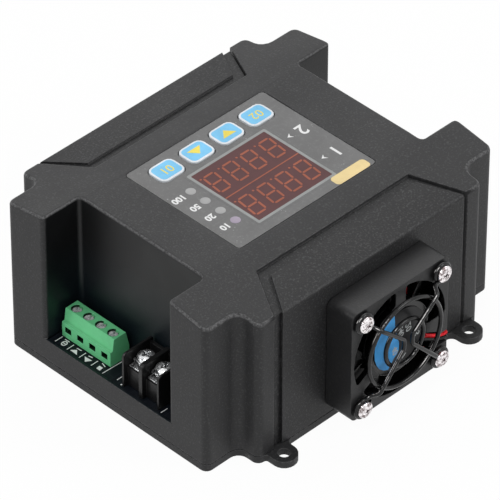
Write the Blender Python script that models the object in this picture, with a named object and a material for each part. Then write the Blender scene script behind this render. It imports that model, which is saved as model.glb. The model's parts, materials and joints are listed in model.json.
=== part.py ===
"""Programmable dc power supply: a small moulded case with a key panel, terminals and a side fan.

Metres, +Z up. X runs along the key row, with the output terminals at +X; +Y is the fan side.
The origin is the centre of the base's underside.
"""
import math

import bmesh
import bpy
from mathutils import Matrix, Vector

for leftover in list(bpy.data.objects):
    bpy.data.objects.remove(leftover, do_unlink=True)

# Fits
GAP = 0.0003
LOOSE = 0.0005

# Case outline
CASE_HEIGHT = 0.0560
WING_X = 0.0590
WING_Y = 0.0410
COLUMN_X = 0.0460
COLUMN_Y = 0.0490
CORNER_ROUND = 0.0023
NOTCH_ROUND = 0.0034
TOP_ROUND = 0.0010
SHOULDER_START = 0.0245
SHOULDER_SLOPE = 0.165
SHOULDER_BLEND = 0.0040
WALL = 0.0018
ROOF = 0.0020
LEDGE = 0.0017

# Terminal recesses
RECESS_X = 0.0447
RECESS_Y = 0.0256
RECESS_ROUND = 0.0015
SILL_Z = 0.0100
SILL_WALL = 0.0008

# Base plate and its ears
BASE_THICK = 0.0023
EAR_X = 0.0387
EAR_Y = 0.0522
EAR_ROUND = 0.0041
EAR_FLARE = 0.0022
EAR_HOLE = 0.0038
CASE_SCREW = 0.0028
CASE_SCREW_LENGTH = 0.0120

# Side covers
COVER_THICK = 0.0024
CHANNEL_DEPTH = 0.0010
OPENING_TOP_X = 0.0311
OPENING_TOP_Y = 0.0330
OPENING_EDGE_X = 0.0398
OPENING_LEDGE = 0.0030
COVER_TOP_X = 0.0297
COVER_TOP_Y = 0.0366
COVER_EDGE_X = 0.0373
COVER_SHIFT = 0.0009

# Key panel
PANEL_X = 0.0562
PANEL_Y = 0.0468
PANEL_AT = (0.0006, 0.0004)
PANEL_ROUND = 0.0011
PANEL_POCKET = 0.0008
FILM_THICK = 0.0004
KEY_WIDTH = 0.0096
KEY_DEPTH = 0.0078
KEY_ROUND = 0.0022
KEY_PITCH = 0.01222
KEY_AT = (0.0003, -0.0161)
KEY_TRAVEL = 0.0004
KEY_FLANGE = 0.0007
LED_SIZE = 0.0030
LED_PITCH = 0.00608
LED_AT = (0.0203, 0.0047)

# Displays
DIGIT_BLOCK_X = 0.0296
DIGIT_BLOCK_Y = 0.0134
DIGIT_BLOCK_Z = 0.0072
DISPLAY_AT = (0.0007, 0.00475)
WINDOW_BORDER = 0.0012

# Circuit boards
BOARD_THICK = 0.0016
MAIN_BOARD_Z = 0.0080
BOSS = 0.0052
BOSS_INSET = 0.0030
BOSS_SPACE = 0.00127
CONTROL_BOARD_Y = 0.0430
SWITCH_SIZE = 0.0060
SWITCH_HEIGHT = 0.0035
PLUNGER = 0.0034

# Signal terminals
SIGNAL_POLES = 4
SIGNAL_PITCH = 0.00508
SIGNAL_DEPTH = 0.00765
SIGNAL_HEIGHT = 0.0095
SIGNAL_LEDGE = 0.0053
SIGNAL_STEP = 0.0010
SIGNAL_LEAN = 0.0005
SIGNAL_SKIN = 0.0006
SIGNAL_FRONT_X = 0.05405
SIGNAL_Y = -0.0138
SIGNAL_SCREW = 0.0030
SIGNAL_REACH = 0.00375
CAGE_RISE = 0.0012

# Power terminals
POWER_POLES = 2
POWER_PITCH = 0.0072
POWER_FRONT_X = 0.0573
POWER_DEPTH = 0.0120
POWER_HEIGHT = 0.0122
POWER_FIN = 0.0014
POWER_SETBACK = 0.0017
POWER_Y = 0.01225
POWER_SCREW = 0.0056

# Fan
FAN_SIZE = 0.0400
FAN_DEPTH = 0.0100
FAN_ROUND = 0.0024
FAN_HOLE_INSET = 0.0040
FAN_RIM = 0.0011
BLADE_SPAN = 0.0067
BLADE_THICK = 0.0011
FAN_BLADES = 7
ROTOR_SET = 0.0008
CUP_WALL = 0.0010
FAN_X = -0.0012
FAN_Z = 0.0256
FAN_SCREW = 0.0030
FAN_SCREW_HEAD = 0.0054
SHAFT = 0.0020

# Finger guard
GUARD_WIRE = 0.0014
GUARD_OUTER_INSET = 0.00365
GUARD_INNER_INSET = 0.0041
GUARD_EYE = 0.0058
GUARD_RISE = 0.0025
EYE_STEPS = 11

# Wires and pegs
PEG = 0.0020
LEAD = 0.0011
FAN_SCREW_BITE = 0.0030

# Inside the fan
STATOR_SET = 0.0004
STATOR_DISC = 0.0020
STRUT_WIDTH = 0.0018
STRUT_ANGLES = (90, 330)
LEAD_STRUT_ANGLE = 210
LEAD_STRUT_WIDTH = 0.0032
LEAD_STRUT_THICK = 0.0008
SLEEVE = 0.0042
LABEL_INSET = 0.0017
GUARD_BEND_A = (0.0018, 0.0016)
GUARD_BEND_B = (0.0003, 0.0016)

# Vents of the rear cover
VENTS = 9
VENT_PITCH = 0.0042
VENT_WIDTH = 0.0020
VENT_HEIGHT = 0.0200

# Cooling and power parts
FAN_SINK_SPACE = 0.0260
SINK_WIDTH = 0.0560
SINK_DEPTH = 0.0130
SINK_WEB = 0.0025
SINK_TEETH = 11
SINK_TOOTH = 0.0012
SINK_HEADROOM = 0.0079
COIL_RADIUS = 0.0078
COIL_WIRE = 0.0036
COIL_AT = (0.0240, 0.0020)
CAN_RADIUS = 0.0080
CAN_HEIGHT = 0.0250
CAN_AT = (-0.0240, -0.0020)
TAB_WIDTH = 0.0102
TAB_THICK = 0.0013
TAB_TOP = 0.0210
TAB_HOLE = 0.0036
TAB_HOLE_RISE = 0.0180
PACKAGE_THICK = 0.0046
PACKAGE_RISE = 0.0060
PACKAGE_TOP = 0.0150
LEG_WIDTH = 0.0008
LEG_THICK = 0.0006
RIBBON_Y = -0.0250
RIBBON_WIDTH = 0.0180
RIBBON_SAG = -0.0040
HEADER_HEIGHT = 0.0060

# Terminal details
CAGE_SIZE = 0.0036
CAGE_WALL = 0.0006
ENTRY_WIDTH = 0.0026
ENTRY_HEIGHT = 0.0021
ENTRY_RISE = 0.0019
SIGNAL_SHANK = 0.0020
SIGNAL_SINK = 0.0005
POWER_FLOOR = 0.0067
POWER_PLATE = 0.0005
POWER_WASHER = 0.0006
POWER_SHANK = 0.0030
POWER_PIT = 0.0040
POWER_LIFT = 0.0006
POWER_REACH = 0.0061

# Derived places
BOARD_TOP = MAIN_BOARD_Z + BOARD_THICK
PANEL_FLOOR = CASE_HEIGHT - PANEL_POCKET
CEILING = CASE_HEIGHT - ROOF
CONTROL_TOP = PANEL_FLOOR - GAP - DIGIT_BLOCK_Z - GAP
CONTROL_Z = CONTROL_TOP - BOARD_THICK
KEY_ROW_END = KEY_AT[0] + 1.5 * KEY_PITCH + KEY_WIDTH / 2 + KEY_FLANGE
CONTROL_BOARD_X = 2 * (KEY_ROW_END + BOSS_SPACE + BOSS / 2 + BOSS_INSET)
SHELL_Z = BASE_THICK + GAP
FAN_BACK = COLUMN_Y + GAP
FAN_FRONT = FAN_BACK + FAN_DEPTH
FAN_BORE = FAN_SIZE - 2 * FAN_RIM
FAN_HUB = FAN_BORE - 2 * BLADE_SPAN
FAN_HOLE_PITCH = FAN_SIZE - 2 * FAN_HOLE_INSET
FAN_SCREW_TIP = COLUMN_Y - COVER_THICK - FAN_SCREW_BITE
LEAD_DROP = FAN_SIZE / 2 * math.tan(math.radians(LEAD_STRUT_ANGLE)) - LEAD / 2
SINK_HEIGHT = CONTROL_Z - SINK_HEADROOM - BOARD_TOP - GAP
PART_SIDES = (1, -1)


# Meshes

def material(name, color, roughness, metallic=0.0):
    """A plain Principled finish, made once for each name."""
    made = bpy.data.materials.get(name)
    if made:
        return made
    made = bpy.data.materials.new(name)
    made.use_nodes = True
    shader = made.node_tree.nodes["Principled BSDF"]
    shader.inputs["Base Color"].default_value = (*color, 1.0)
    shader.inputs["Roughness"].default_value = roughness
    shader.inputs["Metallic"].default_value = metallic
    return made


BLACK_ABS = material("black_abs", (0.075, 0.075, 0.078), 0.62)
COVER_ABS = material("cover_abs", (0.065, 0.065, 0.068), 0.60)
PANEL_FILM = material("panel_film", (0.17, 0.17, 0.175), 0.45)
KEY_BLUE = material("key_blue", (0.20, 0.53, 0.80), 0.40)
WINDOW_RED = material("window_red", (0.11, 0.05, 0.05), 0.15)
DIGIT_BLACK = material("digit_black", (0.03, 0.02, 0.02), 0.35)
LED_GREY = material("led_grey", (0.30, 0.30, 0.31), 0.30)
BOARD_BLACK = material("board_black", (0.012, 0.016, 0.020), 0.40)
TERMINAL_GREEN = material("terminal_green", (0.14, 0.50, 0.26), 0.45)
TERMINAL_BLACK = material("terminal_black", (0.020, 0.020, 0.021), 0.50)
TINNED = material("tinned_steel", (0.72, 0.72, 0.74), 0.28, 1.0)
FAN_BLACK = material("fan_black", (0.030, 0.030, 0.032), 0.50)
LABEL_BLUE = material("label_blue", (0.07, 0.25, 0.60), 0.40)
GUARD_BLACK = material("guard_black", (0.028, 0.028, 0.030), 0.35, 0.6)
COPPER = material("copper_wire", (0.62, 0.26, 0.12), 0.30, 1.0)
ALUMINIUM = material("heatsink_aluminium", (0.62, 0.63, 0.65), 0.42, 1.0)
WIRE_RED = material("wire_red", (0.62, 0.02, 0.03), 0.45)
WIRE_GREY = material("ribbon_grey", (0.45, 0.45, 0.46), 0.55)
CAN_BLUE = material("capacitor_sleeve", (0.03, 0.05, 0.14), 0.35)


def add_object(name, bm, finish):
    """Link a mesh as an object, faces out, round faces smooth."""
    bmesh.ops.remove_doubles(bm, verts=bm.verts, dist=1e-7)
    bmesh.ops.recalc_face_normals(bm, faces=bm.faces)
    mesh = bpy.data.meshes.new(name)
    bm.to_mesh(mesh)
    bm.free()
    mesh.materials.append(finish)
    mesh.shade_smooth()
    mesh.set_sharp_from_angle(angle=math.radians(32))
    made = bpy.data.objects.new(name, mesh)
    bpy.context.scene.collection.objects.link(made)
    return made


def combine(target, tool, operation):
    """Apply a Boolean of target with tool, then remove the tool."""
    modifier = target.modifiers.new(operation.lower(), "BOOLEAN")
    modifier.operation = operation
    modifier.solver = "EXACT"
    modifier.object = tool
    graph = bpy.context.evaluated_depsgraph_get()
    graph.update()
    result = bpy.data.meshes.new_from_object(target.evaluated_get(graph))
    target.modifiers.clear()
    spent = target.data
    target.data = result
    bpy.data.meshes.remove(spent)
    result.name = target.name
    bpy.data.objects.remove(tool, do_unlink=True)
    return target


def cut(target, *tools):
    for tool in tools:
        combine(target, tool, "DIFFERENCE")
    return target


def weld(target, *tools):
    for tool in tools:
        combine(target, tool, "UNION")
    return target


def rounded(corners, steps=4):
    """Points of a closed outline whose corners (x, y, radius) are arcs."""
    points = []
    for index, (x, y, radius) in enumerate(corners):
        here = Vector((x, y))
        before = (Vector(corners[index - 1][:2]) - here).normalized()
        after = (Vector(corners[(index + 1) % len(corners)][:2]) - here).normalized()
        if radius <= 0:
            points.append((x, y))
            continue
        half = before.angle(after) / 2
        centre = here + (before + after).normalized() * radius / math.sin(half)
        start = here + before * radius / math.tan(half) - centre
        sweep = start.angle_signed(here + after * radius / math.tan(half) - centre)
        for step in range(steps + 1):
            turn = Matrix.Rotation(-sweep * step / steps, 2)
            spot = centre + turn @ start
            points.append((spot.x, spot.y))
    return points


def rectangle(size_x, size_y, radius, centre=(0.0, 0.0), steps=4):
    x, y = size_x / 2, size_y / 2
    signs = ((1, 1), (-1, 1), (-1, -1), (1, -1))
    return rounded([(centre[0] + a * x, centre[1] + b * y, radius) for a, b in signs], steps)


def four_way(quadrant):
    """Close an outline from its +X +Y quarter, mirrored in X and Y."""
    mirrored = [(-x, y, r) for x, y, r in reversed(quadrant)]
    opposite = [(-x, -y, r) for x, y, r in quadrant]
    last = [(x, -y, r) for x, y, r in reversed(quadrant)]
    return quadrant + mirrored + opposite + last


def prism(points, low, high):
    """An outline in X and Y pulled up from low to high."""
    bm = bmesh.new()
    face = bm.faces.new([bm.verts.new((x, y, low)) for x, y in points])
    pulled = bmesh.ops.extrude_face_region(bm, geom=[face])
    raised = [item for item in pulled["geom"] if isinstance(item, bmesh.types.BMVert)]
    bmesh.ops.translate(bm, verts=raised, vec=(0, 0, high - low))
    return bm


def profile_along_x(points, low, high):
    """An outline in Y and Z pulled along X from low to high."""
    bm = prism(points, low, high)
    turn = Matrix(((0, 0, 1, 0), (1, 0, 0, 0), (0, 1, 0, 0), (0, 0, 0, 1)))
    bmesh.ops.transform(bm, matrix=turn, verts=bm.verts)
    return bm


def profile_along_y(points, low, high):
    """An outline in X and Z pulled along Y from low to high."""
    bm = prism(points, low, high)
    turn = Matrix(((1, 0, 0, 0), (0, 0, 1, 0), (0, 1, 0, 0), (0, 0, 0, 1)))
    bmesh.ops.transform(bm, matrix=turn, verts=bm.verts)
    return bm


def box(x0, x1, y0, y1, z0, z1):
    bm = bmesh.new()
    bmesh.ops.create_cube(bm, size=1.0)
    bmesh.ops.scale(bm, verts=bm.verts, vec=(x1 - x0, y1 - y0, z1 - z0))
    bmesh.ops.translate(bm, verts=bm.verts, vec=((x0 + x1) / 2, (y0 + y1) / 2, (z0 + z1) / 2))
    return bm


def rod(centre, axis, radius, low, high, sides=24):
    """A cylinder on an axis ('X', 'Y' or 'Z') from low to high along it."""
    bm = bmesh.new()
    bmesh.ops.create_cone(bm, cap_ends=True, segments=sides, radius1=radius, radius2=radius,
                          depth=high - low)
    turns = {"X": Matrix.Rotation(math.pi / 2, 4, "Y"), "Y": Matrix.Rotation(-math.pi / 2, 4, "X"),
             "Z": Matrix.Identity(4)}
    slot = "XYZ".index(axis)
    place = Vector(centre)
    place[slot] = (low + high) / 2
    bmesh.ops.transform(bm, matrix=Matrix.Translation(place) @ turns[axis], verts=bm.verts)
    return bm


def turned(profile, centre, axis="Z", sides=32):
    """Spin a profile of (radius, height) points into a solid about an axis."""
    bm = bmesh.new()
    verts = [bm.verts.new((r, 0, h)) for r, h in profile]
    closed = profile[0][0] > 1e-9 or profile[-1][0] > 1e-9
    edges = [bm.edges.new(pair) for pair in zip(verts, verts[1:])]
    if closed:
        edges.append(bm.edges.new((verts[-1], verts[0])))
    bmesh.ops.spin(bm, geom=verts + edges, cent=(0, 0, 0), axis=(0, 0, 1), dvec=(0, 0, 0),
                   angle=math.tau, steps=sides, use_merge=True)
    bmesh.ops.remove_doubles(bm, verts=bm.verts, dist=1e-7)
    turns = {"Z": Matrix.Identity(4), "Y": Matrix.Rotation(-math.pi / 2, 4, "X"),
             "X": Matrix.Rotation(math.pi / 2, 4, "Y")}
    bmesh.ops.transform(bm, matrix=Matrix.Translation(centre) @ turns[axis], verts=bm.verts)
    return bm


def wire(name, points, radius, finish, resolution=2, closed=False):
    """A round wire through points, as a closed mesh."""
    curve = bpy.data.curves.new(name, "CURVE")
    curve.dimensions = "3D"
    curve.bevel_depth = radius
    curve.bevel_resolution = resolution
    curve.use_fill_caps = not closed
    spline = curve.splines.new("POLY")
    spline.points.add(len(points) - 1)
    spline.use_cyclic_u = closed
    for point, spot in zip(spline.points, points):
        point.co = (*spot, 1.0)
    guide = bpy.data.objects.new(name, curve)
    bpy.context.scene.collection.objects.link(guide)
    graph = bpy.context.evaluated_depsgraph_get()
    graph.update()
    bm = bmesh.new()
    bm.from_mesh(bpy.data.meshes.new_from_object(guide.evaluated_get(graph)))
    bpy.data.objects.remove(guide, do_unlink=True)
    return add_object(name, bm, finish)


def ring_points(radius, centre, steps):
    """Points of a circle that faces along Y."""
    x, y, z = centre
    return [(x + radius * math.cos(math.tau * i / steps), y,
             z + radius * math.sin(math.tau * i / steps)) for i in range(steps)]


# Case

def roof_height(y):
    """Height of the case's outer surface: flat in the middle, falling to both sides."""
    past = abs(y) - SHOULDER_START
    if past <= -SHOULDER_BLEND:
        return CASE_HEIGHT
    if past >= SHOULDER_BLEND:
        return CASE_HEIGHT - SHOULDER_SLOPE * past
    return CASE_HEIGHT - SHOULDER_SLOPE * (past + SHOULDER_BLEND) ** 2 / (4 * SHOULDER_BLEND)


def ceiling_height(y):
    """Height of the hollow inside: lower under the side openings, to leave their ledge."""
    step = OPENING_TOP_Y - LEDGE
    if abs(y) >= step:
        return roof_height(y) - COVER_THICK - GAP - LEDGE
    return roof_height(y) - ROOF


def drape(bm, surface, top, breaks):
    """Cut the mesh at each break in y, then lay its top vertices on a surface."""
    for y in breaks:
        for side in PART_SIDES:
            everything = list(bm.verts) + list(bm.edges) + list(bm.faces)
            bmesh.ops.bisect_plane(bm, geom=everything, plane_co=(0, side * y, 0),
                                   plane_no=(0, 1, 0), dist=1e-6)
    for vert in bm.verts:
        if abs(vert.co.z - top) < 1e-6:
            vert.co.z = surface(vert.co.y)
    return bm


def case_outline(inset=0.0):
    """The plus-shaped plan of the case, moved in by an inset."""
    return rounded(four_way([
        (WING_X - inset, WING_Y - inset, CORNER_ROUND),
        (COLUMN_X - inset, WING_Y - inset, NOTCH_ROUND),
        (COLUMN_X - inset, COLUMN_Y - inset, CORNER_ROUND)]))


def recess_cutter(side):
    """The space of a terminal recess, open upwards and outwards, its outer edges flared."""
    flare = RECESS_ROUND
    reach = WING_X + WALL
    arc = [(WING_X - flare + flare * math.sin(a), RECESS_Y + flare - flare * math.cos(a))
           for a in [math.pi / 2 * i / 3 for i in range(4)]]
    inner = rounded([(RECESS_X, -RECESS_Y, RECESS_ROUND), (RECESS_X + RECESS_Y, -RECESS_Y, 0),
                     (RECESS_X + RECESS_Y, RECESS_Y, 0), (RECESS_X, RECESS_Y, RECESS_ROUND)], 3)
    inner = [p for p in inner if p[0] < WING_X - flare]
    back = [p for p in inner if p[1] < 0]
    front = [p for p in inner if p[1] > 0]
    lower = [(x, -y) for x, y in arc]
    points = back + lower + [(reach, -RECESS_Y - flare), (reach, RECESS_Y + flare)]
    points += list(reversed(arc)) + front
    return prism([(side * x, side * y) for x, y in points], SILL_Z, CASE_HEIGHT + WALL)


def round_top(bm):
    """Round the edges between the top surface and the walls."""
    bm.normal_update()
    chosen = []
    for edge in bm.edges:
        if len(edge.link_faces) != 2 or min(v.co.z for v in edge.verts) < CASE_HEIGHT / 2:
            continue
        tilts = sorted(abs(face.normal.z) for face in edge.link_faces)
        if tilts[0] < 0.2 and tilts[1] > 0.9:
            chosen.append(edge)
    bmesh.ops.bevel(bm, geom=chosen, offset=TOP_ROUND, offset_type="OFFSET", segments=3,
                    profile=0.5, affect="EDGES", clamp_overlap=True, material=-1)
    return bm


def opening_plan(margin, side, reach):
    """Plan of a side opening: narrow on top and widening to the case's edge, less a margin."""
    run = COLUMN_Y - OPENING_TOP_Y
    lean = (OPENING_EDGE_X - OPENING_TOP_X) / run
    slant = margin * math.hypot(1.0, lean)
    top_x = OPENING_TOP_X - slant + margin * lean
    edge_x = OPENING_EDGE_X - slant
    points = [(top_x, OPENING_TOP_Y + margin), (edge_x, COLUMN_Y), (edge_x, COLUMN_Y + reach),
              (-edge_x, COLUMN_Y + reach), (-edge_x, COLUMN_Y), (-top_x, OPENING_TOP_Y + margin)]
    return [(side * x, side * y) for x, y in points]


def side_skin(depth, side, inset=0.0):
    """A bent slab that follows the shoulder and the side wall, from inset to depth below them."""
    bend = TOP_ROUND
    def edge(off):
        face = COLUMN_Y - off
        reach = max(bend - off, 0.0)
        arc = [(face - reach + reach * math.cos(a), roof_height(face) - off - reach + reach * math.sin(a))
               for a in [math.pi / 2 * i / 3 for i in range(4)]]
        return arc if reach > 0 else [(face, roof_height(face) - off)]
    start = OPENING_TOP_Y - WALL
    outer = [(COLUMN_Y - inset, SHELL_Z)] + edge(inset) + [(start, roof_height(start) - inset)]
    inner = [(start, roof_height(start) - depth)] + list(reversed(edge(depth)))
    inner += [(COLUMN_Y - depth, SHELL_Z)]
    points = [(side * y, z) for y, z in outer + inner]
    return profile_along_x(points, -COLUMN_X, COLUMN_X)


def build_shell():
    outer = drape(prism(case_outline(), SHELL_Z, CASE_HEIGHT), roof_height, CASE_HEIGHT,
                  [SHOULDER_START - SHOULDER_BLEND, SHOULDER_START, SHOULDER_START + SHOULDER_BLEND])
    shell = add_object("upper_shell", outer, BLACK_ABS)
    for side in PART_SIDES:
        cut(shell, add_object("recess", recess_cutter(side), BLACK_ABS))
    softened = bmesh.new()
    softened.from_mesh(shell.data)
    softened = round_top(softened)
    bpy.data.objects.remove(shell, do_unlink=True)
    shell = add_object("upper_shell", softened, BLACK_ABS)

    wall_x = RECESS_X - WALL
    wall_y = RECESS_Y + WALL
    post_x = OPENING_EDGE_X - OPENING_LEDGE
    ledge_y = COLUMN_Y - COVER_THICK - GAP - LEDGE
    hollow = rounded(four_way([(wall_x, wall_y, 0), (WING_X - WALL, wall_y, 0),
                               (WING_X - WALL, WING_Y - WALL, RECESS_ROUND),
                               (post_x, WING_Y - WALL, 0), (post_x, ledge_y, 0)]), 3)
    step = OPENING_TOP_Y - LEDGE
    breaks = [SHOULDER_START - SHOULDER_BLEND, SHOULDER_START, SHOULDER_START + SHOULDER_BLEND,
              step - GAP, step]
    chamber = drape(prism(hollow, -WALL, CEILING), ceiling_height, CEILING, breaks)
    cut(shell, add_object("chamber", chamber, BLACK_ABS))
    under = BOARD_TOP + LOOSE
    for side in PART_SIDES:
        low, high = sorted((side * (wall_x - WALL), side * (WING_X - SILL_WALL)))
        cut(shell, add_object("slot", box(low, high, -wall_y - WALL, wall_y + WALL, -WALL, under),
                              BLACK_ABS))
        deep = COVER_THICK + GAP
        seat = side_skin(deep, side, -WALL)
        seat = add_object("seat", seat, BLACK_ABS)
        plan = add_object("plan", prism(opening_plan(0.0, side, 2 * WALL), 0.0, 2 * CASE_HEIGHT), BLACK_ABS)
        cut(shell, combine(seat, plan, "INTERSECT"))
        through = prism(opening_plan(OPENING_LEDGE, side, 2 * WALL), SHELL_Z + WALL, 2 * CASE_HEIGHT)
        cut(shell, add_object("through", through, BLACK_ABS))
    pocket = prism(rectangle(PANEL_X + 2 * GAP, PANEL_Y + 2 * GAP, PANEL_ROUND + GAP, PANEL_AT),
                   PANEL_FLOOR, CASE_HEIGHT + WALL)
    cut(shell, add_object("pocket", pocket, BLACK_ABS))
    display = rectangle(DIGIT_BLOCK_X + 2 * LOOSE, 2 * DIGIT_BLOCK_Y + 3 * LOOSE, 0, DISPLAY_AT)
    cut(shell, add_object("display_hole", prism(display, CEILING - WALL, CASE_HEIGHT), BLACK_ABS))
    for x in key_places():
        hole = rectangle(KEY_WIDTH + 2 * GAP, KEY_DEPTH + 2 * GAP, KEY_ROUND + GAP, (x, KEY_AT[1]))
        cut(shell, add_object("key_hole", prism(hole, CEILING - WALL, CASE_HEIGHT), BLACK_ABS))
    for y in led_places():
        hole = rod((LED_AT[0], y, 0), "Z", LED_SIZE / 2 + GAP, CEILING - WALL, CASE_HEIGHT, 12)
        cut(shell, add_object("led_hole", hole, BLACK_ABS))
    for x, y in boss_places():
        boss = rod((x, y, 0), "Z", BOSS / 2, CONTROL_TOP + GAP, CEILING + ROOF / 4, 10)
        peg = rod((x, y, 0), "Z", PEG / 2, CONTROL_Z - PEG / 2, CEILING, 10)
        weld(shell, add_object("boss", boss, BLACK_ABS), add_object("peg", peg, BLACK_ABS))
    for x, y in case_screw_places():
        bore = rod((x, y, 0), "Z", CASE_SCREW / 2 + GAP, 0, CASE_SCREW_LENGTH + WALL, 12)
        cut(shell, add_object("screw_bore", bore, BLACK_ABS))
    return shell


def key_places():
    return [KEY_AT[0] + (i - 1.5) * KEY_PITCH for i in range(4)]


def led_places():
    return [LED_AT[1] + (i - 1.5) * LED_PITCH for i in range(4)]


def boss_places():
    x = CONTROL_BOARD_X / 2 - BOSS_INSET
    y = CONTROL_BOARD_Y / 2 - BOSS_INSET
    return [(a * x, b * y) for a in PART_SIDES for b in PART_SIDES]


def case_screw_places():
    x = (OPENING_EDGE_X + COLUMN_X) / 2
    y = COLUMN_Y - (COLUMN_X - OPENING_EDGE_X) / 2 - COVER_THICK / 2
    return [(a * x, b * y) for a in PART_SIDES for b in PART_SIDES]


def board_post_places():
    x = WING_X - WALL - 0.0060
    y = WING_Y - WALL - 0.0050
    return [(a * x, b * y) for a in PART_SIDES for b in PART_SIDES]


def build_cover(name, side):
    """A bent cover that fills a side opening, with a stepped channel round its raised field."""
    cover = add_object(name, side_skin(COVER_THICK, side), COVER_ABS)
    plan = prism(opening_plan(GAP, side, 2 * WALL), 0.0, 2 * CASE_HEIGHT)
    combine(cover, add_object("plan", plan, COVER_ABS), "INTERSECT")
    field = [(COVER_TOP_X + COVER_SHIFT, COVER_TOP_Y), (COVER_EDGE_X + COVER_SHIFT, COLUMN_Y),
             (COVER_EDGE_X + COVER_SHIFT, COLUMN_Y + WALL), (-COVER_EDGE_X + COVER_SHIFT, COLUMN_Y + WALL),
             (-COVER_EDGE_X + COVER_SHIFT, COLUMN_Y), (-COVER_TOP_X + COVER_SHIFT, COVER_TOP_Y)]
    field = [(-side * x, side * y) for x, y in field]
    channel = add_object("channel", side_skin(CHANNEL_DEPTH, side, -WALL), COVER_ABS)
    cut(channel, add_object("field", prism(field, -WALL, 2 * CASE_HEIGHT), COVER_ABS))
    return cut(cover, channel)


def build_covers():
    fan_cover = build_cover("fan_side_cover", 1)
    through = (COLUMN_Y - 4 * COVER_THICK, COLUMN_Y + WALL)
    bore = rod((FAN_X, 0, FAN_Z), "Y", FAN_BORE / 2 - LOOSE, *through, 48)
    cut(fan_cover, add_object("fan_bore", bore, COVER_ABS))
    for x, z in fan_screw_places():
        hole = rod((x, 0, z), "Y", FAN_SCREW / 2 + GAP, *through, 16)
        cut(fan_cover, add_object("fan_screw_hole", hole, COVER_ABS))
    beside, spread = lead_way()[1:]
    lead_hole = rectangle(2 * LEAD, 2 * spread + 2 * LEAD, LEAD / 2, (beside, FAN_Z - LEAD_DROP), 2)
    lead_hole = profile_along_y(lead_hole, *through)
    cut(fan_cover, add_object("lead_hole", lead_hole, COVER_ABS))
    rear_cover = build_cover("rear_side_cover", -1)
    for i in range(VENTS):
        x = (i - (VENTS - 1) / 2) * VENT_PITCH
        slot = rectangle(VENT_WIDTH, VENT_HEIGHT, VENT_WIDTH * 0.49, (x, FAN_Z), 4)
        slot = profile_along_y(slot, -through[1], -through[0])
        cut(rear_cover, add_object("vent", slot, COVER_ABS))


def build_base():
    outer, tip = EAR_X + EAR_ROUND, EAR_Y + EAR_ROUND
    inner = EAR_X - EAR_ROUND
    lobe = EAR_ROUND * 0.98
    near = (COLUMN_X - CORNER_ROUND - outer) * 0.95
    plan = rounded(four_way([
        (WING_X, WING_Y, CORNER_ROUND), (COLUMN_X, WING_Y, NOTCH_ROUND),
        (COLUMN_X, COLUMN_Y, CORNER_ROUND), (outer, COLUMN_Y, near),
        (outer, tip, lobe), (inner, tip, lobe), (inner, COLUMN_Y, EAR_FLARE)]), 5)
    base = add_object("base_plate", prism(plan, 0.0, BASE_THICK), BLACK_ABS)
    for x, y in [(a * EAR_X, b * EAR_Y) for a in PART_SIDES for b in PART_SIDES]:
        hole = rod((x, y, 0), "Z", EAR_HOLE / 2, -WALL, BASE_THICK + WALL, 20)
        cut(base, add_object("ear_hole", hole, BLACK_ABS))
    for x, y in case_screw_places():
        step = [(0, -WALL), (CASE_SCREW + GAP, -WALL), (CASE_SCREW + GAP, CASE_SCREW / 2),
                (CASE_SCREW / 2 + GAP, CASE_SCREW / 2), (CASE_SCREW / 2 + GAP, BASE_THICK + WALL),
                (0, BASE_THICK + WALL)]
        cut(base, add_object("counterbore", turned(step, (x, y, 0), sides=12), BLACK_ABS))
    for x, y in board_post_places():
        post = rod((x, y, 0), "Z", 0.0030, BASE_THICK / 2, MAIN_BOARD_Z - GAP, 10)
        weld(base, add_object("post", post, BLACK_ABS))


def pan_screw(name, spot, axis, turn, shank, head, rise, length, sides=20):
    """A pan-head screw whose head points along turn (+1 or -1) of its axis, under-head at spot."""
    profile = [(0, -length), (shank * 0.7, -length), (shank, -length + shank * 0.6), (shank, 0),
               (head, 0), (head, rise * 0.45), (head * 0.86, rise * 0.8), (head * 0.5, rise), (0, rise)]
    bm = turned([(r, h * turn) for r, h in profile], spot, axis, sides)
    screw = add_object(name, bm, TINNED)
    return cross_cut(screw, spot, axis, turn, head, rise)


def cross_cut(screw, spot, axis, turn, head, rise):
    """Cut a cross recess into a screw's head."""
    low, high = sorted((turn * rise * 0.45, turn * rise * 1.6))
    reach, half = head * 0.52, head * 0.12
    plan = [(reach, half), (half, half), (half, reach), (-half, reach), (-half, half), (-reach, half),
            (-reach, -half), (-half, -half), (-half, -reach), (half, -reach), (half, -half),
            (reach, -half)]
    turns = {"Z": Matrix.Identity(4), "Y": Matrix.Rotation(-math.pi / 2, 4, "X")}
    bm = prism(plan, low, high)
    bmesh.ops.transform(bm, matrix=Matrix.Translation(spot) @ turns[axis], verts=bm.verts)
    return cut(screw, add_object("cross", bm, TINNED))


def build_case_screws():
    for i, (x, y) in enumerate(case_screw_places()):
        pan_screw(f"case_screw_{i + 1}", (x, y, CASE_SCREW / 2 - GAP), "Z", -1, CASE_SCREW / 2,
                  CASE_SCREW, CASE_SCREW / 2 - 2 * GAP, CASE_SCREW_LENGTH, 12)


# Key panel

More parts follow.
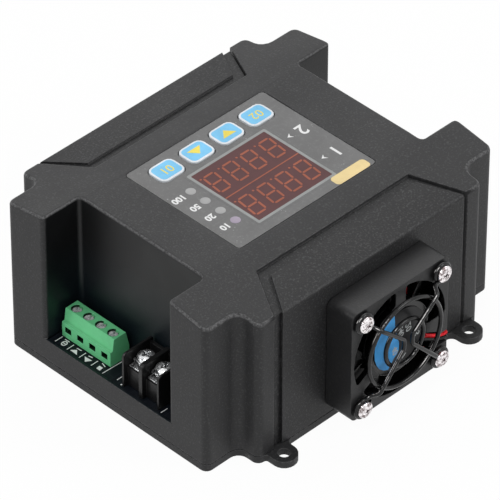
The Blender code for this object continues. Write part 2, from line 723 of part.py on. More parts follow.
def build_panel():
    low = PANEL_FLOOR + GAP
    high = low + FILM_THICK
    film = add_object("panel_overlay", prism(rectangle(PANEL_X, PANEL_Y, PANEL_ROUND, PANEL_AT), low, high),
                      PANEL_FILM)
    window_x = DIGIT_BLOCK_X + 2 * WINDOW_BORDER
    window_y = 2 * DIGIT_BLOCK_Y + LOOSE + 2 * WINDOW_BORDER
    pane = rectangle(window_x + 2 * GAP, window_y + 2 * GAP, 0, DISPLAY_AT)
    cut(film, add_object("pane", prism(pane, low - WALL, high + WALL), PANEL_FILM))
    for x in key_places():
        hole = rectangle(KEY_WIDTH + 2 * GAP, KEY_DEPTH + 2 * GAP, KEY_ROUND + GAP, (x, KEY_AT[1]))
        cut(film, add_object("hole", prism(hole, low - WALL, high + WALL), PANEL_FILM))
    add_object("display_window", prism(rectangle(window_x, window_y, 0.0003, DISPLAY_AT), low, high),
               WINDOW_RED)
    for name, turn in (("current_display", -1), ("voltage_display", 1)):
        y = DISPLAY_AT[1] + turn * (DIGIT_BLOCK_Y + LOOSE) / 2
        block = box(DISPLAY_AT[0] - DIGIT_BLOCK_X / 2, DISPLAY_AT[0] + DIGIT_BLOCK_X / 2,
                    y - DIGIT_BLOCK_Y / 2, y + DIGIT_BLOCK_Y / 2, CONTROL_TOP + GAP, PANEL_FLOOR - GAP)
        add_object(name, block, DIGIT_BLACK)
    ends = led_places()
    low, rail = CONTROL_TOP + GAP, LED_SIZE / 2 + GAP
    bar = box(LED_AT[0] - rail, LED_AT[0] + rail, ends[0] - rail, ends[-1] + rail, low, low + LED_SIZE)
    pipe = add_object("indicator_light_pipe", bar, LED_GREY)
    for y in ends:
        pin = rod((LED_AT[0], y, 0), "Z", LED_SIZE / 2, low + GAP, PANEL_FLOOR - GAP, 12)
        weld(pipe, add_object("pin", pin, LED_GREY))


def build_keys():
    """Four keys whose stems drop into one switch strip on the control board."""
    low = CONTROL_TOP + GAP
    strip_top = low + SWITCH_HEIGHT
    seat = strip_top - 2 * KEY_TRAVEL - GAP
    places = key_places()
    half = SWITCH_SIZE / 2
    y = KEY_AT[1]
    bar = box(places[0] - half, places[-1] + half, y - half, y + half, low, strip_top)
    strip = add_object("key_switch_strip", bar, TERMINAL_BLACK)
    flange_top = CEILING - GAP
    key_top = CASE_HEIGHT + GAP
    for i, x in enumerate(places):
        key = add_object(f"key_{i + 1}", key_pad(x, y, flange_top - KEY_FLANGE / 2, key_top), KEY_BLUE)
        flange = rectangle(KEY_WIDTH + 2 * KEY_FLANGE, KEY_DEPTH + 2 * KEY_FLANGE, KEY_ROUND, (x, y), 2)
        flange = prism(flange, flange_top - KEY_FLANGE, flange_top)
        stem = rod((x, y, 0), "Z", PLUNGER / 2, seat + KEY_TRAVEL + GAP, flange_top, 14)
        weld(key, add_object("flange", flange, KEY_BLUE), add_object("stem", stem, KEY_BLUE))
        set_origin(key, (x, y, key_top))
        bore = rod((x, y, 0), "Z", PLUNGER / 2 + GAP, seat, strip_top + WALL, 14)
        cut(strip, add_object("bore", bore, TERMINAL_BLACK))


def key_pad(x, y, low, high):
    """A rounded pad with a softened top edge."""
    bm = prism(rectangle(KEY_WIDTH, KEY_DEPTH, KEY_ROUND, (x, y), 3), low, high)
    rim = [e for e in bm.edges if min(v.co.z for v in e.verts) > high - 1e-6]
    bmesh.ops.bevel(bm, geom=rim, offset=KEY_TRAVEL / 2, offset_type="OFFSET", segments=2,
                    profile=0.5, affect="EDGES", clamp_overlap=True, material=-1)
    return bm


def set_origin(made, spot):
    """Move an object's origin to a spot, leaving its mesh where it is."""
    made.data.transform(Matrix.Translation(-Vector(spot)))
    made.location = spot
    return made


# Boards and what they carry

def build_boards():
    x, y = WING_X - WALL - 2 * GAP, WING_Y - WALL - 2 * GAP
    tongue_x, tongue_y = WING_X - SILL_WALL - GAP, RECESS_Y + 2 * WALL - GAP
    outline = rounded(four_way([(tongue_x, tongue_y, LOOSE), (x, tongue_y, 0),
                                (x, y, RECESS_ROUND + LOOSE)]), 2)
    add_object("main_board", prism(outline, MAIN_BOARD_Z, BOARD_TOP), BOARD_BLACK)
    outline = rectangle(CONTROL_BOARD_X, CONTROL_BOARD_Y, RECESS_ROUND, steps=2)
    control = add_object("control_board", prism(outline, CONTROL_Z, CONTROL_TOP), BOARD_BLACK)
    for px, py in boss_places():
        hole = rod((px, py, 0), "Z", PEG / 2 + GAP, 0, CASE_HEIGHT, 10)
        cut(control, add_object("hole", hole, BOARD_BLACK))


def comb(width, depth, web, teeth, tooth):
    """Plan of a heatsink: a web along X with teeth towards +Y."""
    points = [(width / 2, 0), (-width / 2, 0)]
    pitch = (width - tooth) / (teeth - 1)
    for i in range(teeth):
        left = -width / 2 + i * pitch
        points += [(left, depth), (left + tooth, depth)]
        if i < teeth - 1:
            points += [(left + tooth, web), (left + pitch, web)]
    return points


def build_power_parts():
    low = BOARD_TOP + GAP
    sink_y = FAN_BACK - FAN_SINK_SPACE
    plan = [(x, sink_y + y) for x, y in comb(SINK_WIDTH, SINK_DEPTH, SINK_WEB, SINK_TEETH, SINK_TOOTH)]
    add_object("heatsink", prism(plan, low, low + SINK_HEIGHT), ALUMINIUM)
    top = sink_y - GAP
    body = box(-TAB_WIDTH / 2, TAB_WIDTH / 2, top - PACKAGE_THICK, top, low + PACKAGE_RISE, low + PACKAGE_TOP)
    body = add_object("power_transistor", body, TERMINAL_BLACK)
    tab = box(-TAB_WIDTH / 2, TAB_WIDTH / 2, top - TAB_THICK, top, low + PACKAGE_TOP - TAB_THICK,
              low + TAB_TOP)
    hole = rod((0, 0, low + TAB_HOLE_RISE), "Y", TAB_HOLE / 2, top - 2 * PACKAGE_THICK, top + WALL, 12)
    weld(body, add_object("tab", tab, TERMINAL_BLACK))
    for shift in (-1, 0, 1):
        x = shift * TAB_WIDTH / 4
        leg_y = top - PACKAGE_THICK / 2
        leg = box(x - LEG_WIDTH / 2, x + LEG_WIDTH / 2, leg_y - LEG_THICK / 2, leg_y + LEG_THICK / 2, low,
                  low + PACKAGE_RISE + LEG_WIDTH)
        weld(body, add_object("leg", leg, TERMINAL_BLACK))
    cut(body, add_object("hole", hole, TERMINAL_BLACK))
    ring = [(COIL_RADIUS + COIL_WIRE * math.cos(a), COIL_WIRE * 0.9 * math.sin(a))
            for a in [math.tau * i / 8 for i in range(8)]]
    add_object("power_coil", turned(ring, (*COIL_AT, low + COIL_WIRE), sides=24), COPPER)
    r, h = CAN_RADIUS, CAN_HEIGHT
    profile = [(0, 0), (r * 0.94, 0), (r, r * 0.06), (r, r * 0.4), (r * 0.95, r * 0.48), (r, r * 0.56),
               (r, h - r * 0.06), (r * 0.94, h), (0, h)]
    add_object("input_capacitor", turned(profile, (*CAN_AT, low), sides=20), CAN_BLUE)


def band(path, thick):
    """Outline of a flat band that follows a path of (y, z) points."""
    left, right = [], []
    for i, here in enumerate(path):
        before = Vector(path[max(i - 1, 0)])
        after = Vector(path[min(i + 1, len(path) - 1)])
        along = (after - before).normalized()
        across = Vector((-along.y, along.x)) * thick / 2
        left.append(tuple(Vector(here) + across))
        right.append(tuple(Vector(here) - across))
    return left + list(reversed(right))


def build_ribbon():
    """The ribbon that joins the two boards, with a header moulded on each end."""
    low, high = BOARD_TOP + GAP, CONTROL_Z - GAP
    y, width = RIBBON_Y, RIBBON_WIDTH
    start, end = low + HEADER_HEIGHT / 2, high - HEADER_HEIGHT / 2
    steps = 10
    path = [(y + RIBBON_SAG * math.sin(math.pi * i / steps), start + (end - start) * i / steps)
            for i in range(steps + 1)]
    ribbon = add_object("ribbon_cable", profile_along_x(band(path, 0.0009), -width / 2, width / 2),
                        WIRE_GREY)
    for span in ((low, low + HEADER_HEIGHT), (high - HEADER_HEIGHT, high)):
        header = box(-width / 2 - 0.0012, width / 2 + 0.0012, y - 0.0028, y + 0.0028, *span)
        weld(ribbon, add_object("header", header, WIRE_GREY))


# Fan

def fan_screw_places():
    half = FAN_HOLE_PITCH / 2
    return [(FAN_X + a * half, FAN_Z + b * half) for a in PART_SIDES for b in PART_SIDES]


def build_fan_frame():
    half = FAN_SIZE / 2
    outline = rectangle(FAN_SIZE, FAN_SIZE, FAN_ROUND, (FAN_X, FAN_Z))
    frame = add_object("fan_frame", profile_along_y(outline, FAN_BACK, FAN_FRONT), FAN_BLACK)
    bore = rod((FAN_X, 0, FAN_Z), "Y", FAN_BORE / 2, FAN_BACK - WALL, FAN_FRONT + WALL, 56)
    cut(frame, add_object("bore", bore, FAN_BLACK))
    for x, z in fan_screw_places():
        hole = rod((x, 0, z), "Y", FAN_SCREW / 2 + GAP, FAN_BACK - WALL, FAN_FRONT + WALL, 16)
        cut(frame, add_object("hole", hole, FAN_BLACK))
    disc_front = FAN_FRONT - STATOR_SET
    disc_back = disc_front - STATOR_DISC
    disc = rod((FAN_X, 0, FAN_Z), "Y", FAN_HUB / 2, disc_back, disc_front, 48)
    disc = add_object("disc", disc, FAN_BLACK)
    level, beside, spread = lead_way()
    reach = spread + LEAD / 2 + GAP
    middle = FAN_Z - LEAD_DROP
    notch = box(beside - LEAD, FAN_X - FAN_BORE * 0.36, level - LEAD / 2 - GAP, FAN_FRONT + WALL,
                middle - reach, middle + reach + LEAD)
    cut(frame, add_object("notch", notch, FAN_BLACK))
    struts = [(angle, STRUT_WIDTH, disc_front - GAP) for angle in STRUT_ANGLES]
    struts.append((LEAD_STRUT_ANGLE, LEAD_STRUT_WIDTH, disc_back + LEAD_STRUT_THICK))
    for angle, width, strut_front in struts:
        strut = box(FAN_HUB / 2 - FAN_RIM, half - FAN_RIM / 2, disc_back, strut_front, -width / 2, width / 2)
        turn = Matrix.Rotation(-math.radians(angle), 4, "Y")
        bmesh.ops.transform(strut, matrix=Matrix.Translation((FAN_X, 0, FAN_Z)) @ turn,
                            verts=strut.verts)
        weld(frame, add_object("strut", strut, FAN_BLACK))
    inner, outer, seat = SHAFT / 2 + GAP, SHAFT / 2 + 4 * GAP, disc_back + STATOR_DISC / 2
    sleeve = [(inner, disc_back - SLEEVE), (outer, disc_back - SLEEVE), (outer, seat), (inner, seat)]
    well = rod((FAN_X, 0, FAN_Z), "Y", inner, disc_back - WALL, seat, 16)
    weld(frame, disc)
    cut(frame, add_object("well", well, FAN_BLACK))
    weld(frame, add_object("sleeve", turned(sleeve, (FAN_X, 0, FAN_Z), "Y", 16), FAN_BLACK))
    label = rod((FAN_X, 0, FAN_Z), "Y", FAN_HUB / 2 - LABEL_INSET, disc_front + GAP / 3, disc_front + GAP, 48)
    add_object("fan_label", label, LABEL_BLUE)


def blade(angle, root, tip, low, high):
    """One twisted fan blade, from the hub out to its tip."""
    bm = bmesh.new()
    rings = []
    for i in range(4):
        part = i / 3
        radius = root + (tip - root) * part
        pitch = math.radians(34 - 12 * part)
        chord = (high - low) / math.sin(pitch) * (0.96 - 0.10 * part)
        ring = []
        for along, off in ((-0.5, 0.0), (-0.25, 1.0), (0.25, 0.85), (0.5, 0.0), (0.25, -0.35),
                           (-0.25, -0.45)):
            thick = BLADE_THICK * off / 1.3
            sweep = along * chord * math.cos(pitch) - thick * math.sin(pitch)
            rise = along * chord * math.sin(pitch) + thick * math.cos(pitch)
            turn = angle + sweep / radius + 0.10 * part
            ring.append(bm.verts.new((radius * math.cos(turn), radius * math.sin(turn),
                                      (low + high) / 2 + rise * 0.9)))
        rings.append(ring)
    for inner, outer in zip(rings, rings[1:]):
        for i in range(len(inner)):
            j = (i + 1) % len(inner)
            bm.faces.new((inner[i], inner[j], outer[j], outer[i]))
    bm.faces.new(rings[0])
    bm.faces.new(list(reversed(rings[-1])))
    bmesh.ops.triangulate(bm, faces=bm.faces)
    return bm


def build_rotor():
    """Hub cup with twisted blades, its shaft and the wound stator inside it, about the fan's axis."""
    disc_back = FAN_FRONT - STATOR_SET - STATOR_DISC
    low, high = FAN_BACK + ROTOR_SET, disc_back - LOOSE
    outer, wall = FAN_HUB / 2 - GAP, CUP_WALL
    cup = [(0, low), (outer - wall / 2, low), (outer, low + wall / 2), (outer, high),
           (outer - wall, high), (outer - wall, low + wall), (0, low + wall)]
    rotor = add_object("fan_rotor", turned(cup, (0, 0, 0), sides=35), FAN_BLACK)
    for i in range(FAN_BLADES):
        fin = blade(math.tau * i / FAN_BLADES, outer - wall / 2, FAN_BORE / 2 - LOOSE, low + wall / 2,
                    high - wall / 5)
        weld(rotor, add_object("blade", fin, FAN_BLACK))
    hub = [(SHAFT / 2 + GAP / 3, low + wall / 2), (SHAFT, low + wall / 2), (SHAFT, low + 2 * wall),
           (SHAFT / 2 + GAP / 3, low + 2 * wall)]
    well = rod((0, 0, 0), "Z", SHAFT / 2 + GAP / 3, low + wall / 2, low + 3 * wall, 20)
    cut(rotor, add_object("well", well, FAN_BLACK))
    weld(rotor, add_object("boss", turned(hub, (0, 0, 0), sides=20), FAN_BLACK))
    shaft = add_object("fan_shaft", rod((0, 0, 0), "Z", SHAFT / 2, low + wall / 2 + GAP,
                                        disc_back + STATOR_DISC / 2 - GAP, 20), TINNED)
    inner = SHAFT / 2 + 5 * GAP
    core = [(inner, low + 2.4 * wall), (outer - 2.8 * wall, low + 2.4 * wall),
            (outer - 2.8 * wall, high - GAP), (inner, high - GAP)]
    stator = add_object("fan_stator", turned(core, (0, 0, 0), sides=32), COPPER)
    turn = Matrix.Rotation(-math.pi / 2, 4, "X")
    middle = (low + high) / 2
    for made in (rotor, shaft, stator):
        made.data.transform(Matrix.Translation((0, -middle, 0)) @ turn)
        made.location = (FAN_X, middle, FAN_Z)


def guard_arm(corner, bend, turn):
    """Path of half a strand: round the screw's eyelet, up to the front and in to the bend."""
    eye = FAN_FRONT + GAP + GUARD_WIRE / 2
    front = FAN_FRONT + GUARD_RISE + GUARD_WIRE * 0.92
    away = Vector(bend) - Vector(corner)
    heading = math.atan2(away.y, away.x)
    way = away.normalized()
    path = []
    for i in range(EYE_STEPS + 1):
        angle = heading + turn * math.radians(330 - 318 * i / EYE_STEPS)
        path.append((corner[0] + GUARD_EYE / 2 * math.cos(angle), eye,
                     corner[1] + GUARD_EYE / 2 * math.sin(angle)))
    leave = GUARD_EYE / 2 + GUARD_WIRE
    bow = GUARD_WIRE * 0.15
    for off, level in ((leave, eye + bow), (leave + GUARD_RISE * 0.7, front - bow),
                       (leave + GUARD_RISE * 1.2, front), (away.length - GUARD_WIRE, front)):
        path.append((corner[0] + way.x * off, level, corner[1] + way.y * off))
    return path


def build_guard():
    """Round wire guard: two rings, two bent strands across them and an eyelet at each screw."""
    plane = FAN_FRONT + GUARD_RISE
    centre = (FAN_X, plane, FAN_Z)
    radius = GUARD_WIRE / 2
    large = ring_points(FAN_BORE / 2 - GUARD_OUTER_INSET, centre, 40)
    small = ring_points(FAN_HUB / 2 - GUARD_INNER_INSET, centre, 28)
    guard = wire("finger_guard", large, radius, GUARD_BLACK, closed=True)
    small = wire("ring", small, radius, GUARD_BLACK, closed=True)
    half = FAN_HOLE_PITCH / 2
    strands = []
    for turn, shift in ((1, GUARD_BEND_A), (-1, GUARD_BEND_B)):
        bend = (FAN_X + shift[0], FAN_Z + shift[1])
        top = (FAN_X + turn * half, FAN_Z + half)
        bottom = (FAN_X + turn * half, FAN_Z - half)
        upper, lower = guard_arm(top, bend, 1), guard_arm(bottom, bend, -1)
        inner = (Vector(upper[-1]) + Vector(lower[-1])) / 2
        inner = (inner + Vector((bend[0], inner.y, bend[1]))) / 2
        path = upper + [tuple(inner)] + list(reversed(lower))
        strands.append(wire("strand", path, radius, GUARD_BLACK))
    weld(guard, strands[0], strands[1], small)


def build_fan_screws():
    head_at = FAN_FRONT + GAP + GUARD_WIRE + GAP
    for i, (x, z) in enumerate(fan_screw_places()):
        pan_screw(f"fan_screw_{i + 1}", (x, head_at, z), "Y", 1, FAN_SCREW / 2, FAN_SCREW_HEAD / 2,
                  FAN_SCREW_HEAD * 0.33, head_at - FAN_SCREW_TIP, 16)


def lead_way():
    """Where the leads run: their level over the strut, their x outside the frame and half their spacing."""
    level = FAN_FRONT - STATOR_SET - STATOR_DISC + LEAD_STRUT_THICK + GAP + LEAD / 2
    return level, FAN_X - FAN_SIZE / 2 - GAP - LEAD / 2, (LEAD + GAP) / 2


def eased(points, rounds=2):
    """A path with its corners cut off, again and again, its ends kept."""
    for _ in range(rounds):
        cut_path = [points[0]]
        for start, end in zip(points, points[1:]):
            cut_path += [tuple(Vector(start).lerp(end, part)) for part in (0.25, 0.75)]
        points = cut_path + [points[-1]]
    return points


def build_fan_leads():
    """Two wires over one strut, out through the frame's side, back into the case and up to its board."""
    level, beside, spread = lead_way()
    turn = math.radians(LEAD_STRUT_ANGLE)
    drop = FAN_Z - LEAD_DROP
    inside = COLUMN_Y - COVER_THICK - GAP - LEAD
    hub = FAN_HUB / 2 + LOOSE
    over = BOARD_TOP + SINK_HEIGHT + 2 * LEAD
    for name, rise, finish in (("fan_lead_red", 1, WIRE_RED), ("fan_lead_black", -1, TERMINAL_BLACK)):
        off = rise * spread
        high = drop + off
        behind = [FAN_X - FAN_BORE * share + off for share in (0.475, 0.455, 0.40, 0.36)]
        path = [(FAN_X + hub * math.cos(turn) + off * math.sin(turn), level,
                 FAN_Z + hub * math.sin(turn) - off * math.cos(turn)),
                (FAN_X - FAN_BORE * 0.44, level, high + LEAD),
                (beside + LEAD, level, high),
                (beside, level - LEAD * 0.2, high),
                (beside, level - 2 * LEAD, high),
                (beside, COLUMN_Y, high),
                (beside, inside, high),
                (beside + off * 0.7, inside - 2 * LEAD, drop + off * 0.7),
                (beside + off, inside - 3 * LEAD, drop + 3 * LEAD),
                (behind[0], inside, FAN_Z - LEAD),
                (behind[1], inside, FAN_Z + 4 * LEAD),
                (behind[2], inside - 4 * LEAD, over),
                (behind[3], CONTROL_BOARD_Y / 2 + 4 * LEAD, CONTROL_Z - 3 * LEAD),
                (behind[3], CONTROL_BOARD_Y / 2 - 3 * LEAD, CONTROL_Z - 3 * LEAD),
                (behind[3], CONTROL_BOARD_Y / 2 - 4 * LEAD, CONTROL_Z - GAP)]
        wire(name, eased(path), LEAD / 2, finish, 1)


# Terminals

def turned_part(made, side):
    """Turn a part built at +X half round for the -X end."""
    if side < 0:
        made.data.transform(Matrix.Rotation(math.pi, 4, "Z"))
    return made


def build_signal_terminals():
    low = BOARD_TOP + GAP
    top = low + SIGNAL_HEIGHT
    front, back = SIGNAL_FRONT_X, SIGNAL_FRONT_X - SIGNAL_DEPTH
    span = SIGNAL_POLES * SIGNAL_PITCH / 2
    ledge, step = low + SIGNAL_LEDGE, front - SIGNAL_STEP
    profile = [(front, low), (front, ledge), (step, ledge), (step - SIGNAL_LEAN, top - GAP),
               (step - SIGNAL_LEAN - GAP, top), (back + 2.6 * SIGNAL_LEAN, top),
               (back, low + SIGNAL_LEDGE * 0.75), (back, low)]
    body = profile_along_y(profile, SIGNAL_Y - span, SIGNAL_Y + span)
    housing = add_object("signal_terminal_housing", body, TERMINAL_GREEN)
    middle = front - SIGNAL_REACH
    cage_low, cage_high = low + 0.0012, low + 0.0060
    for i in range(SIGNAL_POLES):
        y = SIGNAL_Y + (i - (SIGNAL_POLES - 1) / 2) * SIGNAL_PITCH
        half = CAGE_SIZE / 2
        room = box(middle - half - GAP, middle + half + GAP, y - half - GAP, y + half + GAP,
                   cage_low - GAP, cage_high + CAGE_RISE + GAP)
        mouth = box(middle, front - SIGNAL_SKIN, y - half - GAP, y + half + GAP, cage_low - GAP,
                    ledge - SIGNAL_SKIN)
        entry = box(middle, front + WALL, y - ENTRY_WIDTH / 2, y + ENTRY_WIDTH / 2, low + ENTRY_RISE,
                    low + ENTRY_RISE + ENTRY_HEIGHT)
        well = rod((middle, y, 0), "Z", SIGNAL_SCREW / 2 + GAP, cage_high, top + WALL, 16)
        cut(housing, add_object("room", room, TERMINAL_GREEN), add_object("mouth", mouth, TERMINAL_GREEN),
            add_object("entry", entry, TERMINAL_GREEN), add_object("well", well, TERMINAL_GREEN))
        cage = add_object(f"signal_cage_{i + 1}", box(middle - half, middle + half, y - half, y + half,
                                                      cage_low, cage_high), TINNED)
        inside = box(middle - WALL * 3, middle + WALL * 3, y - half + CAGE_WALL, y + half - CAGE_WALL,
                     cage_low + CAGE_WALL, cage_high - 2 * CAGE_WALL)
        thread = rod((middle, y, 0), "Z", (SIGNAL_SHANK + GAP) / 2, cage_high - 3 * CAGE_WALL,
                     cage_high + WALL, 16)
        cut(cage, add_object("inside", inside, TINNED), add_object("thread", thread, TINNED))
        set_origin(cage, (middle, y, cage_low))
        head = top - SIGNAL_SINK
        r, s = SIGNAL_SCREW / 2, SIGNAL_SHANK / 2
        tip = cage_high - CAGE_WALL * 2.5
        shape = [(0, tip), (s * 0.8, tip), (s, tip + s * 0.3), (s, head - 0.0014), (r, head - 0.0014),
                 (r, head - 0.0002), (r - 0.0002, head), (0, head)]
        screw = add_object(f"signal_screw_{i + 1}", turned(shape, (middle, y, 0), sides=14), TINNED)
        slot = box(middle - 2 * r, middle + 2 * r, y - 0.0003, y + 0.0003, head - 0.0007, head + WALL)
        cut(screw, add_object("slot", slot, TINNED))
        set_origin(screw, (middle, y, head))


def build_power_terminals(prefix, side):
    """A two-way barrier block with a plate, a captive washer and a raised screw in each bay."""
    low = BOARD_TOP + GAP
    top = low + POWER_HEIGHT
    front, back = POWER_FRONT_X, POWER_FRONT_X - POWER_DEPTH
    floor = low + POWER_FLOOR
    fins = [POWER_Y + (i - POWER_POLES / 2) * POWER_PITCH for i in range(POWER_POLES + 1)]
    body = box(back + GAP, front - POWER_SETBACK, fins[0], fins[-1], low, floor)
    body = add_object(f"{prefix}_barrier_block", body, TERMINAL_BLACK)
    side_view = rounded([(front, low, 0), (front, top, 0.0014), (back, top, 0.0008), (back, low, 0)], 3)
    halves = [POWER_FIN / 4] + [POWER_FIN / 2] * (POWER_POLES - 1) + [POWER_FIN / 4]
    for y, half in zip(fins, halves):
        fin = profile_along_y(side_view, y - half, y + half)
        weld(body, add_object("fin", fin, TERMINAL_BLACK))
    wall = box(back + GAP, back + POWER_FIN, fins[0], fins[-1], floor - WALL, top - POWER_FIN)
    weld(body, add_object("wall", wall, TERMINAL_BLACK))
    screw_x = front - POWER_REACH
    for i in range(POWER_POLES):
        bay = (fins[i] + halves[i], fins[i + 1] - halves[i + 1])
        y, half = (bay[0] + bay[1]) / 2, (bay[1] - bay[0]) / 2 - GAP
        plate_low = floor + GAP
        plate_top = plate_low + POWER_PLATE
        pit = rod((screw_x, y, 0), "Z", POWER_SHANK / 2 + GAP, floor - POWER_PIT, floor + WALL, 16)
        cut(body, add_object("pit", pit, TERMINAL_BLACK))
        plate = box(screw_x - half, front - POWER_SETBACK - GAP, y - half, y + half, plate_low, plate_top)
        plate = add_object(f"{prefix}_plate_{i + 1}", plate, TINNED)
        hole = rod((screw_x, y, 0), "Z", POWER_SHANK / 2 + GAP, plate_low - WALL, plate_top + WALL, 16)
        turned_part(cut(plate, add_object("hole", hole, TINNED)), side)
        washer_low = plate_top + GAP + POWER_LIFT
        washer_top = washer_low + POWER_WASHER
        square = prism(rectangle(2 * half, 2 * half, 0.0006, (screw_x, y), 2), washer_low, washer_top)
        washer = add_object(f"{prefix}_washer_{i + 1}", square, TINNED)
        hole = rod((screw_x, y, 0), "Z", POWER_SHANK / 2 + GAP, washer_low - WALL, washer_top + WALL, 16)
        cut(washer, add_object("hole", hole, TINNED))
        set_origin(turned_part(washer, side), (side * screw_x, side * y, washer_top))
        length = washer_top - floor + POWER_PIT - POWER_LIFT - 2 * GAP
        screw = pan_screw(f"{prefix}_screw_{i + 1}", (screw_x, y, washer_top + GAP), "Z", 1,
                          POWER_SHANK / 2, POWER_SCREW / 2, POWER_SCREW * 0.30, length, 16)
        set_origin(turned_part(screw, side), (side * screw_x, side * y, washer_top + GAP))
    turned_part(body, side)


def main():
    build_shell()
    build_covers()
    build_base()
    build_case_screws()
    build_panel()
    build_keys()
    build_boards()
    build_power_parts()
    build_ribbon()
    build_fan_frame()
    build_rotor()
    build_guard()
    build_fan_screws()
    build_fan_leads()
    build_signal_terminals()
    build_power_terminals("output", 1)
    build_power_terminals("input", -1)


main()
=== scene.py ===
"""Looks for a small programmable dc power supply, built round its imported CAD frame.

Metres, +Z up. +X is the end with the output terminals and +Y the side with the fan.
"""

from __future__ import annotations

import json
import logging
import math
from dataclasses import dataclass, field
from enum import Enum
from typing import Callable, Iterable, Sequence

import bmesh  # noqa: E402
import bpy  # noqa: E402
from mathutils import Matrix, Vector  # noqa: E402

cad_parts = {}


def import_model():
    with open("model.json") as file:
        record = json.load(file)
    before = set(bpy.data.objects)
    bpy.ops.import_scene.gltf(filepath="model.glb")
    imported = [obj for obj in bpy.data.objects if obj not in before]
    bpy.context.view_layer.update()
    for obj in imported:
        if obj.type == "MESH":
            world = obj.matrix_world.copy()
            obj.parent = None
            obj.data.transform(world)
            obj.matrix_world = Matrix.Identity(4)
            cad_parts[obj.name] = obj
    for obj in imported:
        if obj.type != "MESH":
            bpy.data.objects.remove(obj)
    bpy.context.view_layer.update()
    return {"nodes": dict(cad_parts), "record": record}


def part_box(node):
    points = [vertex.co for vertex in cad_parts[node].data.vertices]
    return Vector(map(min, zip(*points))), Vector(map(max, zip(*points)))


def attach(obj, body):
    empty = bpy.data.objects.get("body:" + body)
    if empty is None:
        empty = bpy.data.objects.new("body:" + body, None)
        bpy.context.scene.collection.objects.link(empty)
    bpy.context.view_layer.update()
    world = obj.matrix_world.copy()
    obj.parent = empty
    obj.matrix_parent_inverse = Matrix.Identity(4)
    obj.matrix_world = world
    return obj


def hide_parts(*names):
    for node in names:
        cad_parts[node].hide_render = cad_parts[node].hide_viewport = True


LOG = logging.getLogger("power_supply")

Colour = tuple[float, float, float]
Point2 = tuple[float, float]
Point3 = tuple[float, float, float]

MM = 0.001


class Body(str, Enum):
    """Bodies of the frame that new pieces ride on."""

    CASE = "case"
    ROTOR = "fan_rotor"


def srgb(red: int, green: int, blue: int) -> Colour:
    """Turn 8-bit display values into linear light.

    Args:
        red: Red from 0 to 255.
        green: Green from 0 to 255.
        blue: Blue from 0 to 255.

    Returns:
        The same colour as linear values.
    """
    def one(value: int) -> float:
        part = value / 255
        return part / 12.92 if part <= 0.04045 else ((part + 0.055) / 1.055) ** 2.4

    return one(red), one(green), one(blue)


# Shader trees


class Tree:
    """Short ways to add and link nodes in one node tree."""

    def __init__(self, tree: bpy.types.NodeTree) -> None:
        self.tree = tree

    def add(self, kind: str, **values: object) -> bpy.types.Node:
        """Add a node and set its properties or sockets.

        Args:
            kind: The node's type without its ShaderNode prefix.
            **values: Property names, or socket names with spaces as underscores.

        Returns:
            The new node.
        """
        prefix = "" if kind.startswith("NodeGroup") else "ShaderNode"
        node = self.tree.nodes.new(prefix + kind)
        for key, value in values.items():
            if hasattr(node, key):
                setattr(node, key, value)
            else:
                node.inputs[key.replace("_", " ")].default_value = value
        return node

    def link(self, source: bpy.types.NodeSocket, target: bpy.types.NodeSocket) -> None:
        """Link one socket to another."""
        self.tree.links.new(source, target)

    def math(self, operation: str, first: object, second: object = 0.0, clamp: bool = False) -> bpy.types.NodeSocket:
        """Add a Math node.

        Args:
            operation: The node's operation.
            first: A socket or a number.
            second: A socket or a number.
            clamp: Whether the result is held between 0 and 1.

        Returns:
            The result's socket.
        """
        node = self.add("Math", operation=operation, use_clamp=clamp)
        for slot, value in zip(node.inputs, (first, second)):
            if isinstance(value, (int, float)):
                slot.default_value = value
            else:
                self.link(value, slot)
        return node.outputs[0]

    def blend(self, factor: object, first: object, second: object, mode: str = "MIX") -> bpy.types.NodeSocket:
        """Mix two colours.

        Args:
            factor: A socket or a number.
            first: A socket or a colour.
            second: A socket or a colour.
            mode: The way they are mixed.

        Returns:
            The result's socket.
        """
        node = self.add("Mix", data_type="RGBA", blend_type=mode)
        for slot, value in ((node.inputs[0], factor), (node.inputs[6], first), (node.inputs[7], second)):
            if isinstance(value, bpy.types.NodeSocket):
                self.link(value, slot)
            elif isinstance(value, (int, float)):
                slot.default_value = value
            else:
                slot.default_value = (*value, 1.0)
        return node.outputs[2]

    def ramp(self, source: bpy.types.NodeSocket, low: float, high: float, to_low: float = 0.0,
             to_high: float = 1.0) -> bpy.types.NodeSocket:
        """Map a value from one range to another, held at its ends."""
        node = self.add("MapRange", clamp=True)
        for slot, value in zip(node.inputs[1:5], (low, high, to_low, to_high)):
            slot.default_value = value
        self.link(source, node.inputs[0])
        return node.outputs[0]


def shared_group(name: str, inputs: Sequence[tuple[str, str, float]], outputs: Sequence[tuple[str, str]],
                 fill: Callable[[Tree, bpy.types.Node, bpy.types.Node], None]) -> bpy.types.NodeTree:
    """Make a shader node group once and give it back each time after.

    Args:
        name: The group's name.
        inputs: Name, socket type and default of each input.
        outputs: Name and socket type of each output.
        fill: Builds the inside from the tree and its two end nodes.

    Returns:
        The group.
    """
    made = bpy.data.node_groups.get(name)
    if made:
        return made
    made = bpy.data.node_groups.new(name, "ShaderNodeTree")
    for label, kind, default in inputs:
        slot = made.interface.new_socket(label, in_out="INPUT", socket_type=kind)
        if kind == "NodeSocketFloat":
            slot.default_value = default
    for label, kind in outputs:
        made.interface.new_socket(label, in_out="OUTPUT", socket_type=kind)
    tree = Tree(made)
    fill(tree, tree.add("NodeGroupInput"), tree.add("NodeGroupOutput"))
    return made


